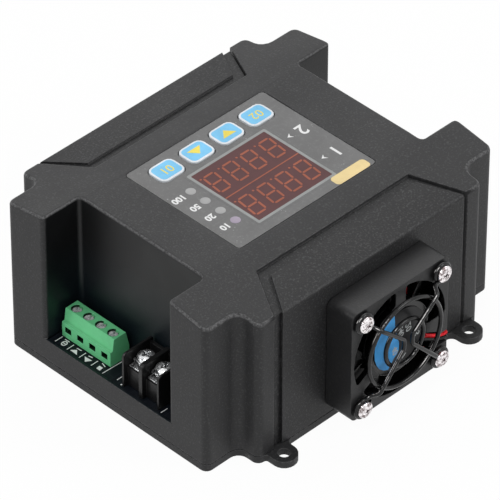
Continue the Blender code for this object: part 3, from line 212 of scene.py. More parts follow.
def fill_grain(tree: Tree, start: bpy.types.Node, end: bpy.types.Node) -> None:
    """Spark-eroded grain: a fine pebble height and a sparse light speckle."""
    pebble = tree.add("TexNoise", noise_dimensions="3D", Detail=2.0, Roughness=0.55)
    tree.link(start.outputs["Vector"], pebble.inputs["Vector"])
    tree.link(start.outputs["Scale"], pebble.inputs["Scale"])
    cells = tree.add("TexVoronoi", feature="F1", distance="EUCLIDEAN")
    tree.link(start.outputs["Vector"], cells.inputs["Vector"])
    tree.link(tree.math("MULTIPLY", start.outputs["Scale"], 0.8), cells.inputs["Scale"])
    height = tree.math("ADD", tree.math("MULTIPLY", pebble.outputs[0], 0.6),
                       tree.math("MULTIPLY", cells.outputs["Distance"], 0.5))
    tree.link(height, end.inputs["Height"])
    fleck = tree.add("TexNoise", noise_dimensions="3D", Detail=1.0, Roughness=0.5)
    tree.link(start.outputs["Vector"], fleck.inputs["Vector"])
    tree.link(tree.math("MULTIPLY", start.outputs["Scale"], 0.62), fleck.inputs["Scale"])
    tree.link(tree.ramp(fleck.outputs[0], 0.54, 0.72), end.inputs["Speckle"])


def fill_edges(tree: Tree, start: bpy.types.Node, end: bpy.types.Node) -> None:
    """Rounded normal and a broken mask of edges, from how far the normal leans over.

    Crest adds the rounded edges that already face part of the way up. The mask paints highlight and wear along edges,
    and painted highlight on the upward-facing ones.
    """
    wide = tree.add("Bevel", samples=6)
    tree.link(start.outputs["Width"], wide.inputs["Radius"])
    true = tree.add("NewGeometry")
    lean = tree.add("VectorMath", operation="DOT_PRODUCT")
    tree.link(wide.outputs[0], lean.inputs[0])
    tree.link(true.outputs["Normal"], lean.inputs[1])
    edge_wear_and_highlight = tree.add("TexNoise", noise_dimensions="3D", Scale=900.0, Detail=4.0, Roughness=0.7)
    tree.link(start.outputs["Vector"], edge_wear_and_highlight.inputs["Vector"])
    # Painted highlight and wear along every rounded edge, broken by noise.
    rim_highlight_and_wear = tree.math("MULTIPLY", tree.ramp(lean.outputs["Value"], 0.997, 0.87), tree.ramp(edge_wear_and_highlight.outputs[0], 0.40, 0.62))
    rise = tree.add("SeparateXYZ")
    tree.link(true.outputs["Normal"], rise.inputs[0])
    # Painted highlight on rounded edges that face part of the way up, broken by noise.
    slope = tree.math("MULTIPLY", tree.ramp(rise.outputs["Z"], 0.97, 0.88), tree.ramp(rise.outputs["Z"], 0.20, 0.45))
    crest_breakup = tree.add("TexNoise", noise_dimensions="3D", Scale=1500.0, Detail=3.0, Roughness=0.7)
    tree.link(start.outputs["Vector"], crest_breakup.inputs["Vector"])
    crest = tree.math("MULTIPLY", tree.math("MULTIPLY", slope, start.outputs["Crest"]),
                      tree.ramp(crest_breakup.outputs[0], 0.36, 0.60))
    tree.link(tree.math("MAXIMUM", rim_highlight_and_wear, crest), end.inputs["Mask"])
    tree.link(wide.outputs[0], end.inputs["Normal"])


def fill_recess(tree: Tree, start: bpy.types.Node, end: bpy.types.Node) -> None:
    """Mask of the two terminal recesses, whose walls are smoother than the outside and carry painted shade, and a
    depth that grows towards the bottom for a painted sheen.
    """
    split = tree.add("SeparateXYZ")
    tree.link(start.outputs["Vector"], split.inputs[0])
    end_on = tree.math("ABSOLUTE", split.outputs["X"])
    across = tree.math("ABSOLUTE", split.outputs["Y"])
    inside = tree.math("MULTIPLY", tree.ramp(end_on, 0.04440, 0.04462), tree.ramp(across, 0.02580, 0.02562))
    low = tree.math("MULTIPLY", tree.ramp(end_on, 0.05895, 0.05875), tree.ramp(split.outputs["Z"], 0.0560, 0.0548))
    tree.link(tree.math("MULTIPLY", inside, low), end.inputs["Mask"])
    tree.link(tree.ramp(split.outputs["Z"], 0.042, 0.014), end.inputs["Depth"])


def fill_cloud(tree: Tree, start: bpy.types.Node, end: bpy.types.Node) -> None:
    """Slow patches, as handling and moulding leave on a surface."""
    patch = tree.add("TexNoise", noise_dimensions="3D", Detail=5.0, Roughness=0.62, Distortion=0.4)
    tree.link(start.outputs["Vector"], patch.inputs["Vector"])
    tree.link(start.outputs["Scale"], patch.inputs["Scale"])
    tree.link(tree.ramp(patch.outputs[0], 0.32, 0.68), end.inputs["Patch"])


def group_node(tree: Tree, kind: str) -> bpy.types.Node:
    """Add one of the shared effects to a tree.

    Args:
        tree: The tree that uses it.
        kind: "grain", "edges", "cloud" or "recess".

    Returns:
        The group node.
    """
    vector = ("Vector", "NodeSocketVector", 0.0)
    scale = ("Scale", "NodeSocketFloat", 1000.0)
    width = ("Width", "NodeSocketFloat", 0.0003)
    crest = ("Crest", "NodeSocketFloat", 0.0)

    def values(*names: str) -> list[tuple[str, str]]:
        return [(name, "NodeSocketFloat") for name in names]

    plans = {
        "grain": ([vector, scale], values("Height", "Speckle"), fill_grain),
        "edges": ([vector, width, crest], values("Mask") + [("Normal", "NodeSocketVector")], fill_edges),
        "cloud": ([vector, scale], values("Patch"), fill_cloud),
        "recess": ([vector], values("Mask", "Depth"), fill_recess),
    }
    inputs, outputs, fill = plans[kind]
    node = tree.add("Group")
    node.node_tree = shared_group("effect_" + kind, inputs, outputs, fill)
    return node


# Finishes


@dataclass(frozen=True)
class Finish:
    """A surface finish that makes its material once.

    Attributes:
        name: The material's name.
        slot: The record's material slot; not used.
        colour: Linear base colour.
        roughness: Principled roughness.
    """

    name: str
    slot: str
    colour: Colour
    roughness: float = 0.5

    def material(self) -> bpy.types.Material:
        """The finish as a node material."""
        name = "finish_" + self.name
        made = bpy.data.materials.get(name)
        if made:
            return made
        made = bpy.data.materials.new(name)
        made.use_nodes = True
        tree = Tree(made.node_tree)
        shader = made.node_tree.nodes["Principled BSDF"]
        shader.inputs["Base Color"].default_value = (*self.colour, 1.0)
        shader.inputs["Roughness"].default_value = self.roughness
        place = tree.add("TexCoord").outputs["Object"]
        self.dress(tree, shader, place)
        made.diffuse_color = (*self.colour, 1.0)
        return made

    def dress(self, tree: Tree, shader: bpy.types.Node, place: bpy.types.NodeSocket) -> None:
        """Add the finish's own detail to its shader."""
        raise NotImplementedError

    def cloud(self, tree: Tree, place: bpy.types.NodeSocket, scale: float) -> bpy.types.NodeSocket:
        """Slow patches at a scale."""
        node = group_node(tree, "cloud")
        tree.link(place, node.inputs["Vector"])
        node.inputs["Scale"].default_value = scale
        return node.outputs["Patch"]

    def edges(self, tree: Tree, place: bpy.types.NodeSocket, width: float) -> bpy.types.Node:
        """The rounded edges of a given width."""
        node = group_node(tree, "edges")
        tree.link(place, node.inputs["Vector"])
        node.inputs["Width"].default_value = width
        return node

    def bump(self, tree: Tree, shader: bpy.types.Node, height: bpy.types.NodeSocket, depth: float,
             strength: float = 1.0, normal: bpy.types.NodeSocket | None = None) -> None:
        """Lay a height on the shader's normal."""
        node = tree.add("Bump", Strength=strength, Distance=depth)
        tree.link(height, node.inputs["Height"])
        if normal:
            tree.link(normal, node.inputs["Normal"])
        tree.link(node.outputs["Normal"], shader.inputs["Normal"])


@dataclass(frozen=True)
class Moulded(Finish):
    """Moulded plastic with a fine grain, light flecks, and edges made paler as wear and painted highlight.

    Attributes:
        grain: Noise scale of the grain, per metre.
        depth: Height of the grain in metres.
        fleck: How light the flecks are.
        edge: How much paler the edges are, as wear and painted highlight.
        gloss: Specular level.
        round: Radius that the edges seem to have.
        crest: How strongly the rounded top edges get a painted highlight, broken by noise.
        recessed: Whether the terminal recesses are smoother, darkened as painted shade, with a painted bluish sheen
            towards the bottom.
    """

    grain: float = 2600.0
    depth: float = 0.00004
    fleck: float = 0.30
    edge: float = 0.6
    gloss: float = 0.32
    round: float = 0.00035
    crest: float = 0.0
    recessed: bool = False

    def dress(self, tree: Tree, shader: bpy.types.Node, place: bpy.types.NodeSocket) -> None:
        """Grain in the normal, flecks and edges in the colour, the edges as wear and painted highlight, patches in
        the roughness.
        """
        grain = group_node(tree, "grain")
        tree.link(place, grain.inputs["Vector"])
        grain.inputs["Scale"].default_value = self.grain
        patch = self.cloud(tree, place, 45.0)
        edges = self.edges(tree, place, self.round)
        edges.inputs["Crest"].default_value = self.crest
        pale = tuple(min(1.0, part * 2.2 + 0.03) for part in self.colour)
        # Edge colour: wear and painted highlight.
        edge_wear_and_highlight = tuple(min(1.0, part * 2.6 + 0.06) for part in self.colour)
        deep = tuple(part * 0.82 for part in self.colour)
        colour = tree.blend(patch, deep, self.colour)
        colour = tree.blend(tree.math("MULTIPLY", grain.outputs["Speckle"], self.fleck), colour, pale)
        rough = tree.ramp(patch, 0.0, 1.0, self.roughness - 0.05, self.roughness + 0.05)
        rim_highlight_and_wear = tree.math("MULTIPLY", edges.outputs["Mask"], self.edge)
        colour = tree.blend(rim_highlight_and_wear, colour, edge_wear_and_highlight)
        if self.recessed:
            # Painted shade darkens the recess walls, and a painted bluish sheen grows towards the bottom.
            recess = group_node(tree, "recess")
            tree.link(place, recess.inputs["Vector"])
            painted_shade_and_sheen = tree.blend(recess.outputs["Depth"], (0.0030, 0.0032, 0.0036), (0.0050, 0.0095, 0.0130))
            colour = tree.blend(recess.outputs["Mask"], colour, painted_shade_and_sheen)
            rough = tree.math("SUBTRACT", rough, tree.math("MULTIPLY", recess.outputs["Mask"], 0.14))
        tree.link(colour, shader.inputs["Base Color"])
        tree.link(rough, shader.inputs["Roughness"])
        shader.inputs["Specular IOR Level"].default_value = self.gloss
        self.bump(tree, shader, grain.outputs["Height"], self.depth, 1.0, edges.outputs["Normal"])


@dataclass(frozen=True)
class FanPlastic(Moulded):
    """Matt frame, painted near-black inside the bore and motor seat as shade, and shinier there.

    Attributes:
        axis: X and Z of the fan's axis.
        bore: Radius within which shade is painted and it shines.
        front: Y of the frame's face.
    """

    axis: Point2 = (-0.0012, 0.0256)
    bore: float = 0.01895
    front: float = 0.0593

    def dress(self, tree: Tree, shader: bpy.types.Node, place: bpy.types.NodeSocket) -> None:
        """The moulded finish, then the painted shade of the bore by distance from the axis."""
        super().dress(tree, shader, place)
        split = tree.add("SeparateXYZ")
        tree.link(place, split.inputs[0])
        across = tree.math("SUBTRACT", split.outputs["X"], self.axis[0])
        upward = tree.math("SUBTRACT", split.outputs["Z"], self.axis[1])
        reach = tree.math("SQRT", tree.math("ADD", tree.math("MULTIPLY", across, across),
                                            tree.math("MULTIPLY", upward, upward)))
        inside = tree.math("MULTIPLY", tree.ramp(reach, self.bore + 0.0001, self.bore - 0.00005),
                           tree.ramp(split.outputs["Y"], self.front - 0.0001, self.front - 0.0003))
        # Painted shade: near-black inside the bore, with lower roughness.
        for socket, value in (("Base Color", (0.0016, 0.0016, 0.0017)), ("Roughness", (0.2, 0.2, 0.2))):
            source = shader.inputs[socket].links[0].from_socket
            tree.link(tree.blend(inside, source, value), shader.inputs[socket])


@dataclass(frozen=True)
class HollowPlastic(Moulded):
    """Moulded plastic with painted shade inside its openings.

    Attributes:
        hollows: Lowest and highest corner of each block of space that holds openings, where shade is painted.
    """

    hollows: tuple[tuple[Point3, Point3], ...] = ()

    def dress(self, tree: Tree, shader: bpy.types.Node, place: bpy.types.NodeSocket) -> None:
        """The moulded finish, then the blocks darkened as painted shade."""
        super().dress(tree, shader, place)
        split = tree.add("SeparateXYZ")
        tree.link(place, split.inputs[0])
        soft = 0.1 * MM
        colour = shader.inputs["Base Color"].links[0].from_socket
        for low, high in self.hollows:
            inside = 1.0
            for axis, start, end in zip("XYZ", low, high):
                within = tree.math("MULTIPLY", tree.ramp(split.outputs[axis], start, start + soft),
                                   tree.ramp(split.outputs[axis], end, end - soft))
                inside = tree.math("MULTIPLY", within, inside)
            # Painted shade inside the openings.
            colour = tree.blend(inside, colour, tuple(part * 0.05 for part in self.colour))
        tree.link(colour, shader.inputs["Base Color"])


@dataclass(frozen=True)
class Printed(Finish):
    """Film or ink: almost smooth, with a faint weave of unevenness and a clear coat.

    Attributes:
        coat: Clear coat weight.
        vary: How much the colour wanders.
        gloss: Specular level.
    """

    coat: float = 0.0
    vary: float = 0.10
    gloss: float = 0.22

    def dress(self, tree: Tree, shader: bpy.types.Node, place: bpy.types.NodeSocket) -> None:
        """Uneven colour and a slight orange peel."""
        patch = self.cloud(tree, place, 120.0)
        deep = tuple(part * (1.0 - self.vary) for part in self.colour)
        pale = tuple(min(1.0, part * (1.0 + self.vary)) for part in self.colour)
        tree.link(tree.blend(patch, deep, pale), shader.inputs["Base Color"])
        peel = tree.add("TexNoise", noise_dimensions="3D", Scale=1400.0, Detail=2.0)
        tree.link(place, peel.inputs["Vector"])
        self.bump(tree, shader, peel.outputs[0], 0.00001, 0.6)
        shader.inputs["Specular IOR Level"].default_value = self.gloss
        shader.inputs["Coat Weight"].default_value = self.coat
        shader.inputs["Coat Roughness"].default_value = 0.25


@dataclass(frozen=True)
class Film(Printed):
    """The panel's film: mottled grey with dust specks in patches and a pale edge, which is painted highlight."""

    def dress(self, tree: Tree, shader: bpy.types.Node, place: bpy.types.NodeSocket) -> None:
        """Mottling, specks and painted edge highlight in the colour, peel in the normal."""
        patch = self.cloud(tree, place, 90.0)
        mottle = group_node(tree, "grain")
        tree.link(place, mottle.inputs["Vector"])
        mottle.inputs["Scale"].default_value = 1500.0
        deep = tuple(part * 0.90 for part in self.colour)
        pale = tuple(min(1.0, part * 1.10) for part in self.colour)
        bright = tuple(min(1.0, part * 2.6) for part in self.colour)
        colour = tree.blend(patch, deep, pale)
        colour = tree.blend(tree.math("MULTIPLY", mottle.outputs["Speckle"], 0.10), colour, bright)
        dots = tree.add("TexVoronoi", feature="F1", distance="EUCLIDEAN", Scale=760.0)
        tree.link(place, dots.inputs["Vector"])
        few = self.cloud(tree, place, 130.0)
        speck = tree.math("MULTIPLY", tree.ramp(dots.outputs["Distance"], 0.24, 0.12), tree.ramp(few, 0.66, 0.86))
        colour = tree.blend(tree.math("MULTIPLY", speck, 0.7), colour, bright)
        # Painted highlight along the film's edges.
        edges = self.edges(tree, place, 0.00025)
        colour = tree.blend(tree.math("MULTIPLY", edges.outputs["Mask"], 0.7), colour, bright)
        tree.link(colour, shader.inputs["Base Color"])
        self.bump(tree, shader, mottle.outputs["Height"], 0.00001, 0.6, edges.outputs["Normal"])
        shader.inputs["Specular IOR Level"].default_value = self.gloss


@dataclass(frozen=True)
class Plated(Finish):
    """Bright plated steel with turning marks and darker spots: dull metal, and on the bright screws and clamps
    painted dark reflection.

    Attributes:
        marks: Height of the marks in metres.
        tint: Colour of the spots; the dark tints of the screws and clamps are painted dark reflection.
        metal: Metallic level.
        spots: Noise scale of the spots, per metre.
    """

    marks: float = 0.00002
    tint: Colour = (0.45, 0.33, 0.31)
    metal: float = 1.0
    spots: float = 620.0

    def dress(self, tree: Tree, shader: bpy.types.Node, place: bpy.types.NodeSocket) -> None:
        """Uneven roughness and shallow marks."""
        shader.inputs["Metallic"].default_value = self.metal
        patch = tree.ramp(self.cloud(tree, place, self.spots), 0.25, 0.6)
        # Spots in the colour: dull metal, and dark tints painted as dark reflection.
        tree.link(tree.blend(patch, self.tint, self.colour), shader.inputs["Base Color"])
        tree.link(tree.ramp(patch, 0.0, 1.0, self.roughness + 0.14, self.roughness), shader.inputs["Roughness"])
        edges = self.edges(tree, place, 0.00022)
        fine = tree.add("TexNoise", noise_dimensions="3D", Scale=2600.0, Detail=2.0, Roughness=0.6)
        tree.link(place, fine.inputs["Vector"])
        self.bump(tree, shader, fine.outputs[0], self.marks, 0.8, edges.outputs["Normal"])


@dataclass(frozen=True)
class Lacquered(Finish):
    """Lacquer or insulation over wire, with faint orange peel.

    Attributes:
        gloss: Specular level.
        peel: Height of the peel in metres.
        painted_highlight_directions: Directions; where the surface faces one of them, a bright line is painted as a
            highlight.
    """

    gloss: float = 0.5
    peel: float = 0.00002
    painted_highlight_directions: tuple[Point3, ...] = ()

    def dress(self, tree: Tree, shader: bpy.types.Node, place: bpy.types.NodeSocket) -> None:
        """Peel in the normal, dust and painted highlight lines in the colour."""
        patch = self.cloud(tree, place, 500.0)
        pale = tuple(min(1.0, part * 1.5 + 0.01) for part in self.colour)
        colour = tree.blend(patch, self.colour, pale)
        # Painted highlight: a bright broken line where the normal faces one of the given directions.
        for direction in self.painted_highlight_directions:
            facing = tree.add("VectorMath", operation="DOT_PRODUCT")
            facing.inputs[1].default_value = direction
            tree.link(tree.add("NewGeometry").outputs["Normal"], facing.inputs[0])
            broken = tree.add("TexNoise", noise_dimensions="3D", Scale=420.0, Detail=3.0, Roughness=0.65)
            tree.link(place, broken.inputs["Vector"])
            line = tree.math("MULTIPLY", tree.ramp(facing.outputs["Value"], 0.978, 0.992),
                             tree.ramp(broken.outputs[0], 0.42, 0.54))
            colour = tree.blend(line, colour, (0.80, 0.77, 0.76))
        tree.link(colour, shader.inputs["Base Color"])
        peel = tree.add("TexNoise", noise_dimensions="3D", Scale=1800.0, Detail=2.0)
        tree.link(place, peel.inputs["Vector"])
        self.bump(tree, shader, peel.outputs[0], self.peel, 0.5)
        shader.inputs["Specular IOR Level"].default_value = self.gloss


@dataclass(frozen=True)
class Mask(Finish):
    """Solder mask with faint copper tracks under it."""

    def dress(self, tree: Tree, shader: bpy.types.Node, place: bpy.types.NodeSocket) -> None:
        """Tracks as a soft brick pattern, and a clear coat."""
        tracks = tree.add("TexBrick", Scale=160.0, Mortar_Size=0.02, Mortar_Smooth=0.4, Brick_Width=0.9,
                          Row_Height=0.45)
        tree.link(place, tracks.inputs["Vector"])
        pale = tuple(part * 1.6 + 0.004 for part in self.colour)
        tree.link(tree.blend(tracks.outputs["Fac"], self.colour, pale), shader.inputs["Base Color"])
        self.bump(tree, shader, tracks.outputs["Fac"], 0.00003, 0.4)
        shader.inputs["Specular IOR Level"].default_value = 0.25


# Edge and crest paint highlight and wear on the edges; recessed paints shade and sheen in the terminal recesses.
CASE = Moulded("case_black_abs", "case_black", srgb(40, 40, 41), 0.55, fleck=0.34, edge=0.95,
               gloss=0.30, round=0.00055, crest=1.0, recessed=True)
COVER = Moulded("cover_black_abs", "cover_black", srgb(34, 34, 35), 0.55, depth=0.00007, fleck=0.60,
                gloss=0.27, crest=0.5)
TERMINAL_BLACK = Moulded("terminal_black", "part_black", srgb(16, 16, 17), 0.34, grain=1500.0, fleck=0.05,
                         edge=0.25, round=0.00025)
# The green block's openings are darkened as painted shade.
TERMINAL_GREEN = HollowPlastic("terminal_green", "terminal_green", srgb(112, 212, 148), 0.42, grain=1300.0,
                         depth=0.00002, fleck=0.04, edge=0.30, gloss=0.25, round=0.00022,
                               hollows=(((0.0475, -0.0234, 0.0106), (0.05398, -0.0042, 0.0150)),
                                        ((0.0486, -0.0234, 0.0160), (0.0520, -0.0042, 0.01932))))
FAN_PLASTIC = FanPlastic("fan_frame_black", "fan_black", srgb(29, 29, 30), 0.45, grain=1700.0,
                         fleck=0.14, edge=0.45)
BLADE_PLASTIC = Moulded("blade_black", "fan_black", srgb(6, 6, 7), 0.25, grain=1200.0, depth=0.00001,
                        fleck=0.02, edge=0.05, gloss=0.2)
PANEL_FILM = Film("panel_film", "panel_grey", srgb(105, 105, 105), 0.42)
WINDOW = Printed("window_red", "window_red", srgb(80, 43, 44), 0.40, gloss=0.2)
KEY_BLUE = Printed("key_blue", "key_blue", srgb(122, 195, 235), 0.38)
KEY_WHITE = Printed("key_rim_white", "key_blue", srgb(224, 229, 234), 0.40)
YELLOW = Printed("ink_yellow", "key_blue", srgb(236, 216, 92), 0.42)
WHITE = Printed("ink_white", "panel_grey", srgb(228, 228, 228), 0.45, vary=0.03)
BEIGE = Printed("ink_beige", "panel_grey", srgb(230, 207, 150), 0.42)
FRAME_GREY = Printed("ink_frame_grey", "panel_grey", srgb(144, 146, 145), 0.42)
SEGMENT = Printed("display_segment", "display_black", srgb(156, 90, 70), 0.45, gloss=0.12)
LENS = Printed("lens_frosted", "light_pipe", srgb(152, 152, 152), 0.38, gloss=0.5)
LENS_LILAC = Printed("lens_lilac", "light_pipe", srgb(150, 138, 156), 0.38, gloss=0.5)
SILK = Printed("silkscreen_white", "board_black", srgb(240, 242, 242), 0.5, vary=0.03)
BOARD = Mask("solder_mask", "board_black", srgb(10, 15, 22), 0.50)
# The fan screws' and clamps' dark spots are painted dark reflection.
STEEL = Plated("plated_steel", "steel", (0.92, 0.88, 0.89), 0.10, marks=0.00005, tint=(0.20, 0.16, 0.16),
               spots=900.0)
CLAMP_STEEL = Plated("clamp_steel", "steel", (0.92, 0.93, 0.94), 0.14, marks=0.00009, tint=(0.05, 0.055, 0.06),
                     metal=0.85, spots=800.0)
ZINC = Plated("dull_zinc", "steel", (0.88, 0.90, 0.90), 0.30, marks=0.00006, tint=(0.34, 0.37, 0.37), metal=0.4,
              spots=900.0)
# Near-black steel for the cages: painted shade, as they sit in the dark openings.
SHADED_CAGE_STEEL = Plated("cage_steel_painted_shade", "steel", (0.05, 0.055, 0.055), 0.42, marks=0.00004, tint=(0.03, 0.03, 0.03), metal=0.6)
DULL_STEEL = Plated("dull_plated_steel", "steel", (0.74, 0.72, 0.74), 0.30, marks=0.00005,
                    tint=(0.34, 0.34, 0.37))
# The guard's bright lines are painted highlights along the wires.
GUARD = Lacquered("guard_lacquer", "guard_black", srgb(12, 12, 13), 0.16, gloss=0.3,
                  painted_highlight_directions=((0.78, -0.12, 0.61), (0.52, 0.52, 0.68)))
LABEL_DARK = Printed("label_dark", "label_blue", srgb(20, 20, 22), 0.38)
LABEL_BLUE = Printed("label_blue", "label_blue", srgb(72, 162, 234), 0.42, vary=0.30, gloss=0.15)
LABEL_INK = Printed("label_ink", "label_blue", srgb(186, 190, 190), 0.45)
WIRE_RED = Lacquered("lead_red", "wire_red", srgb(205, 8, 26), 0.45, gloss=0.2)
WIRE_BLACK = Lacquered("lead_black", "wire_black", srgb(14, 14, 14), 0.45, gloss=0.2)
COPPER = Plated("copper_winding", "copper", (0.62, 0.26, 0.12), 0.3, marks=0.00006, tint=(0.30, 0.12, 0.06))
ALUMINIUM = Plated("heatsink_aluminium", "aluminium", (0.55, 0.56, 0.58), 0.38, tint=(0.42, 0.43, 0.45))
DISPLAY = Printed("display_block", "display_black", (0.03, 0.02, 0.02), 0.35)
PIPE = Printed("light_pipe", "light_pipe", srgb(146, 146, 146), 0.4)
SLEEVE = Printed("capacitor_sleeve", "sleeve_blue", (0.03, 0.05, 0.14), 0.35)
RIBBON = Printed("ribbon_grey", "ribbon_grey", (0.45, 0.45, 0.46), 0.55)


# Mesh helpers


def prism(points: Sequence[Point2], low: float, high: float) -> bmesh.types.BMesh:
    """Pull an outline in X and Y up from low to high.

    Args:
        points: The outline, in order.
        low: Height of its underside.
        high: Height of its top.

    Returns:
        The solid.
    """
    bm = bmesh.new()
    face = bm.faces.new([bm.verts.new((x, y, low)) for x, y in points])
    pulled = bmesh.ops.extrude_face_region(bm, geom=[face])
    raised = [item for item in pulled["geom"] if isinstance(item, bmesh.types.BMVert)]
    bmesh.ops.translate(bm, verts=raised, vec=(0, 0, high - low))
    bmesh.ops.recalc_face_normals(bm, faces=bm.faces)
    return bm


def facing_fan(bm: bmesh.types.BMesh) -> bmesh.types.BMesh:
    """Turn a solid made in X, Y and Z so that its Y stands up along Z and its Z points along +Y."""
    turn = Matrix(((1, 0, 0, 0), (0, 0, 1, 0), (0, 1, 0, 0), (0, 0, 0, 1)))
    bmesh.ops.transform(bm, matrix=turn, verts=bm.verts)
    bmesh.ops.recalc_face_normals(bm, faces=bm.faces)
    return bm


def merged(parts: Iterable[bmesh.types.BMesh]) -> bmesh.types.BMesh:
    """Put several meshes in one."""
    whole = bmesh.new()
    for part in parts:
        spare = bpy.data.meshes.new("spare")
        part.to_mesh(spare)
        part.free()
        whole.from_mesh(spare)
        bpy.data.meshes.remove(spare)
    return whole


def rectangle(centre: Point2, size: Point2, radius: float, steps: int = 6) -> list[Point2]:
    """Outline of a rectangle with round corners."""
    x, y = size[0] / 2 - radius, size[1] / 2 - radius
    points = []
    for corner, (a, b) in enumerate(((1, 1), (-1, 1), (-1, -1), (1, -1))):
        for step in range(steps + 1):
            turn = math.pi / 2 * (corner + step / steps)
            points.append((centre[0] + a * x + radius * math.cos(turn),
                           centre[1] + b * y + radius * math.sin(turn)))
    return points


def disc(centre: Point2, radius: float, steps: int = 40) -> list[Point2]:
    """Outline of a circle."""
    return [(centre[0] + radius * math.cos(math.tau * i / steps),
             centre[1] + radius * math.sin(math.tau * i / steps)) for i in range(steps)]


def band(outer: Sequence[Point2], inner: Sequence[Point2], low: float, high: float) -> bmesh.types.BMesh:
    """A flat closed band between two outlines of equal length."""
    bm = bmesh.new()
    rings = [[bm.verts.new((x, y, z)) for x, y in ring]
             for ring, z in ((outer, high), (inner, high), (inner, low), (outer, low))]
    count = len(outer)
    for first, second in zip(rings, rings[1:] + rings[:1]):
        for i in range(count):
            j = (i + 1) % count
            bm.faces.new((first[i], first[j], second[j], second[i]))
    bmesh.ops.recalc_face_normals(bm, faces=bm.faces)
    return bm


def spun(profile: Sequence[Point2], steps: int = 48) -> bmesh.types.BMesh:
    """Spin a (radius, height) profile round Z into a closed solid."""
    bm = bmesh.new()
    verts = [bm.verts.new((r, 0, h)) for r, h in profile]
    edges = [bm.edges.new(pair) for pair in zip(verts, verts[1:])]
    if profile[0][0] > 1e-9 or profile[-1][0] > 1e-9:
        edges.append(bm.edges.new((verts[-1], verts[0])))
    bmesh.ops.spin(bm, geom=verts + edges, cent=(0, 0, 0), axis=(0, 0, 1), dvec=(0, 0, 0),
                   angle=math.tau, steps=steps, use_merge=True)
    bmesh.ops.remove_doubles(bm, verts=bm.verts, dist=1e-7)
    bmesh.ops.recalc_face_normals(bm, faces=bm.faces)
    return bm


def placed(bm: bmesh.types.BMesh, matrix: Matrix) -> bmesh.types.BMesh:
    """Move a mesh by a matrix."""
    bmesh.ops.transform(bm, matrix=matrix, verts=bm.verts)
    return bm


def figures(text: str, height: float, centre: Point2, low: float, thick: float, weight: float = 0.0,
            turn: float = 0.0) -> bmesh.types.BMesh:
    """Plain numerals as a flat solid.

    Args:
        text: The digits.
        height: Height of a digit.
        centre: Where their middle lies.
        low: Height of the underside.
        thick: Thickness.
        weight: How far the strokes are fattened.
        turn: Turn about Z in radians.

    Returns:
        The solid.
    """
    curve = bpy.data.curves.new("numerals", "FONT")
    curve.body = text
    curve.size = height * 1.38
    curve.align_x = "CENTER"
    curve.align_y = "CENTER"
    curve.offset = weight
    curve.extrude = thick / 2
    curve.resolution_u = 4
    holder = bpy.data.objects.new("numerals", curve)
    bpy.context.scene.collection.objects.link(holder)
    graph = bpy.context.evaluated_depsgraph_get()
    graph.update()
    bm = bmesh.new()
    mesh = bpy.data.meshes.new_from_object(holder.evaluated_get(graph))
    bm.from_mesh(mesh)
    bpy.data.objects.remove(holder, do_unlink=True)
    bpy.data.curves.remove(curve)
    bpy.data.meshes.remove(mesh)
    bmesh.ops.remove_doubles(bm, verts=bm.verts, dist=1e-7)
    place = Matrix.Translation((centre[0], centre[1], low + thick / 2)) @ Matrix.Rotation(turn, 4, "Z")
    return placed(bm, place)


def tube(points: Sequence[Point3], radius: float, closed: bool = False, sides: int = 4) -> bmesh.types.BMesh:
    """A round wire through points, as a closed mesh."""
    curve = bpy.data.curves.new("wire", "CURVE")
    curve.dimensions = "3D"
    curve.bevel_depth = radius
    curve.bevel_resolution = sides
    curve.use_fill_caps = not closed
    spline = curve.splines.new("POLY")
    spline.points.add(len(points) - 1)
    spline.use_cyclic_u = closed
    for point, spot in zip(spline.points, points):
        point.co = (*spot, 1.0)
    holder = bpy.data.objects.new("wire", curve)
    bpy.context.scene.collection.objects.link(holder)
    graph = bpy.context.evaluated_depsgraph_get()
    graph.update()
    mesh = bpy.data.meshes.new_from_object(holder.evaluated_get(graph))
    bm = bmesh.new()
    bm.from_mesh(mesh)
    bpy.data.objects.remove(holder, do_unlink=True)
    bpy.data.curves.remove(curve)
    bpy.data.meshes.remove(mesh)
    bmesh.ops.remove_doubles(bm, verts=bm.verts, dist=1e-7)
    bmesh.ops.recalc_face_normals(bm, faces=bm.faces)
    return bm


def eased(points: Sequence[Point3], rounds: int = 3) -> list[Point3]:
    """A path with its corners cut off again and again, its ends kept."""
    path = [Vector(point) for point in points]
    for _ in range(rounds):
        shorter = [path[0]]
        for start, end in zip(path, path[1:]):
            shorter += [start.lerp(end, 0.25), start.lerp(end, 0.75)]
        path = shorter + [path[-1]]
    return [tuple(point) for point in path]


def add_piece(name: str, bm: bmesh.types.BMesh, finish: Finish, body: str = Body.CASE.value,
              stands_for: Sequence[str] = (), angle: float = 35.0) -> bpy.types.Object:
    """Link a mesh as a piece that rides on a body.

    Args:
        name: The piece's name.
        bm: Its mesh, which is freed.
        finish: What it is made of.
        body: The body that it rides on.
        stands_for: CAD nodes that it replaces.
        angle: Edges sharper than this, in degrees, stay sharp.

    Returns:
        The object.
    """
    mesh = bpy.data.meshes.new(name)
    bm.to_mesh(mesh)
    bm.free()
    mesh.materials.append(finish.material())
    mesh.shade_smooth()
    mesh.set_sharp_from_angle(angle=math.radians(angle))
    made = bpy.data.objects.new(name, mesh)
    bpy.context.scene.collection.objects.link(made)
    weigh = made.modifiers.new("weigh", "WEIGHTED_NORMAL")
    weigh.keep_sharp = True
    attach(made, body)
    if stands_for:
        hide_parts(*stands_for)
    return made


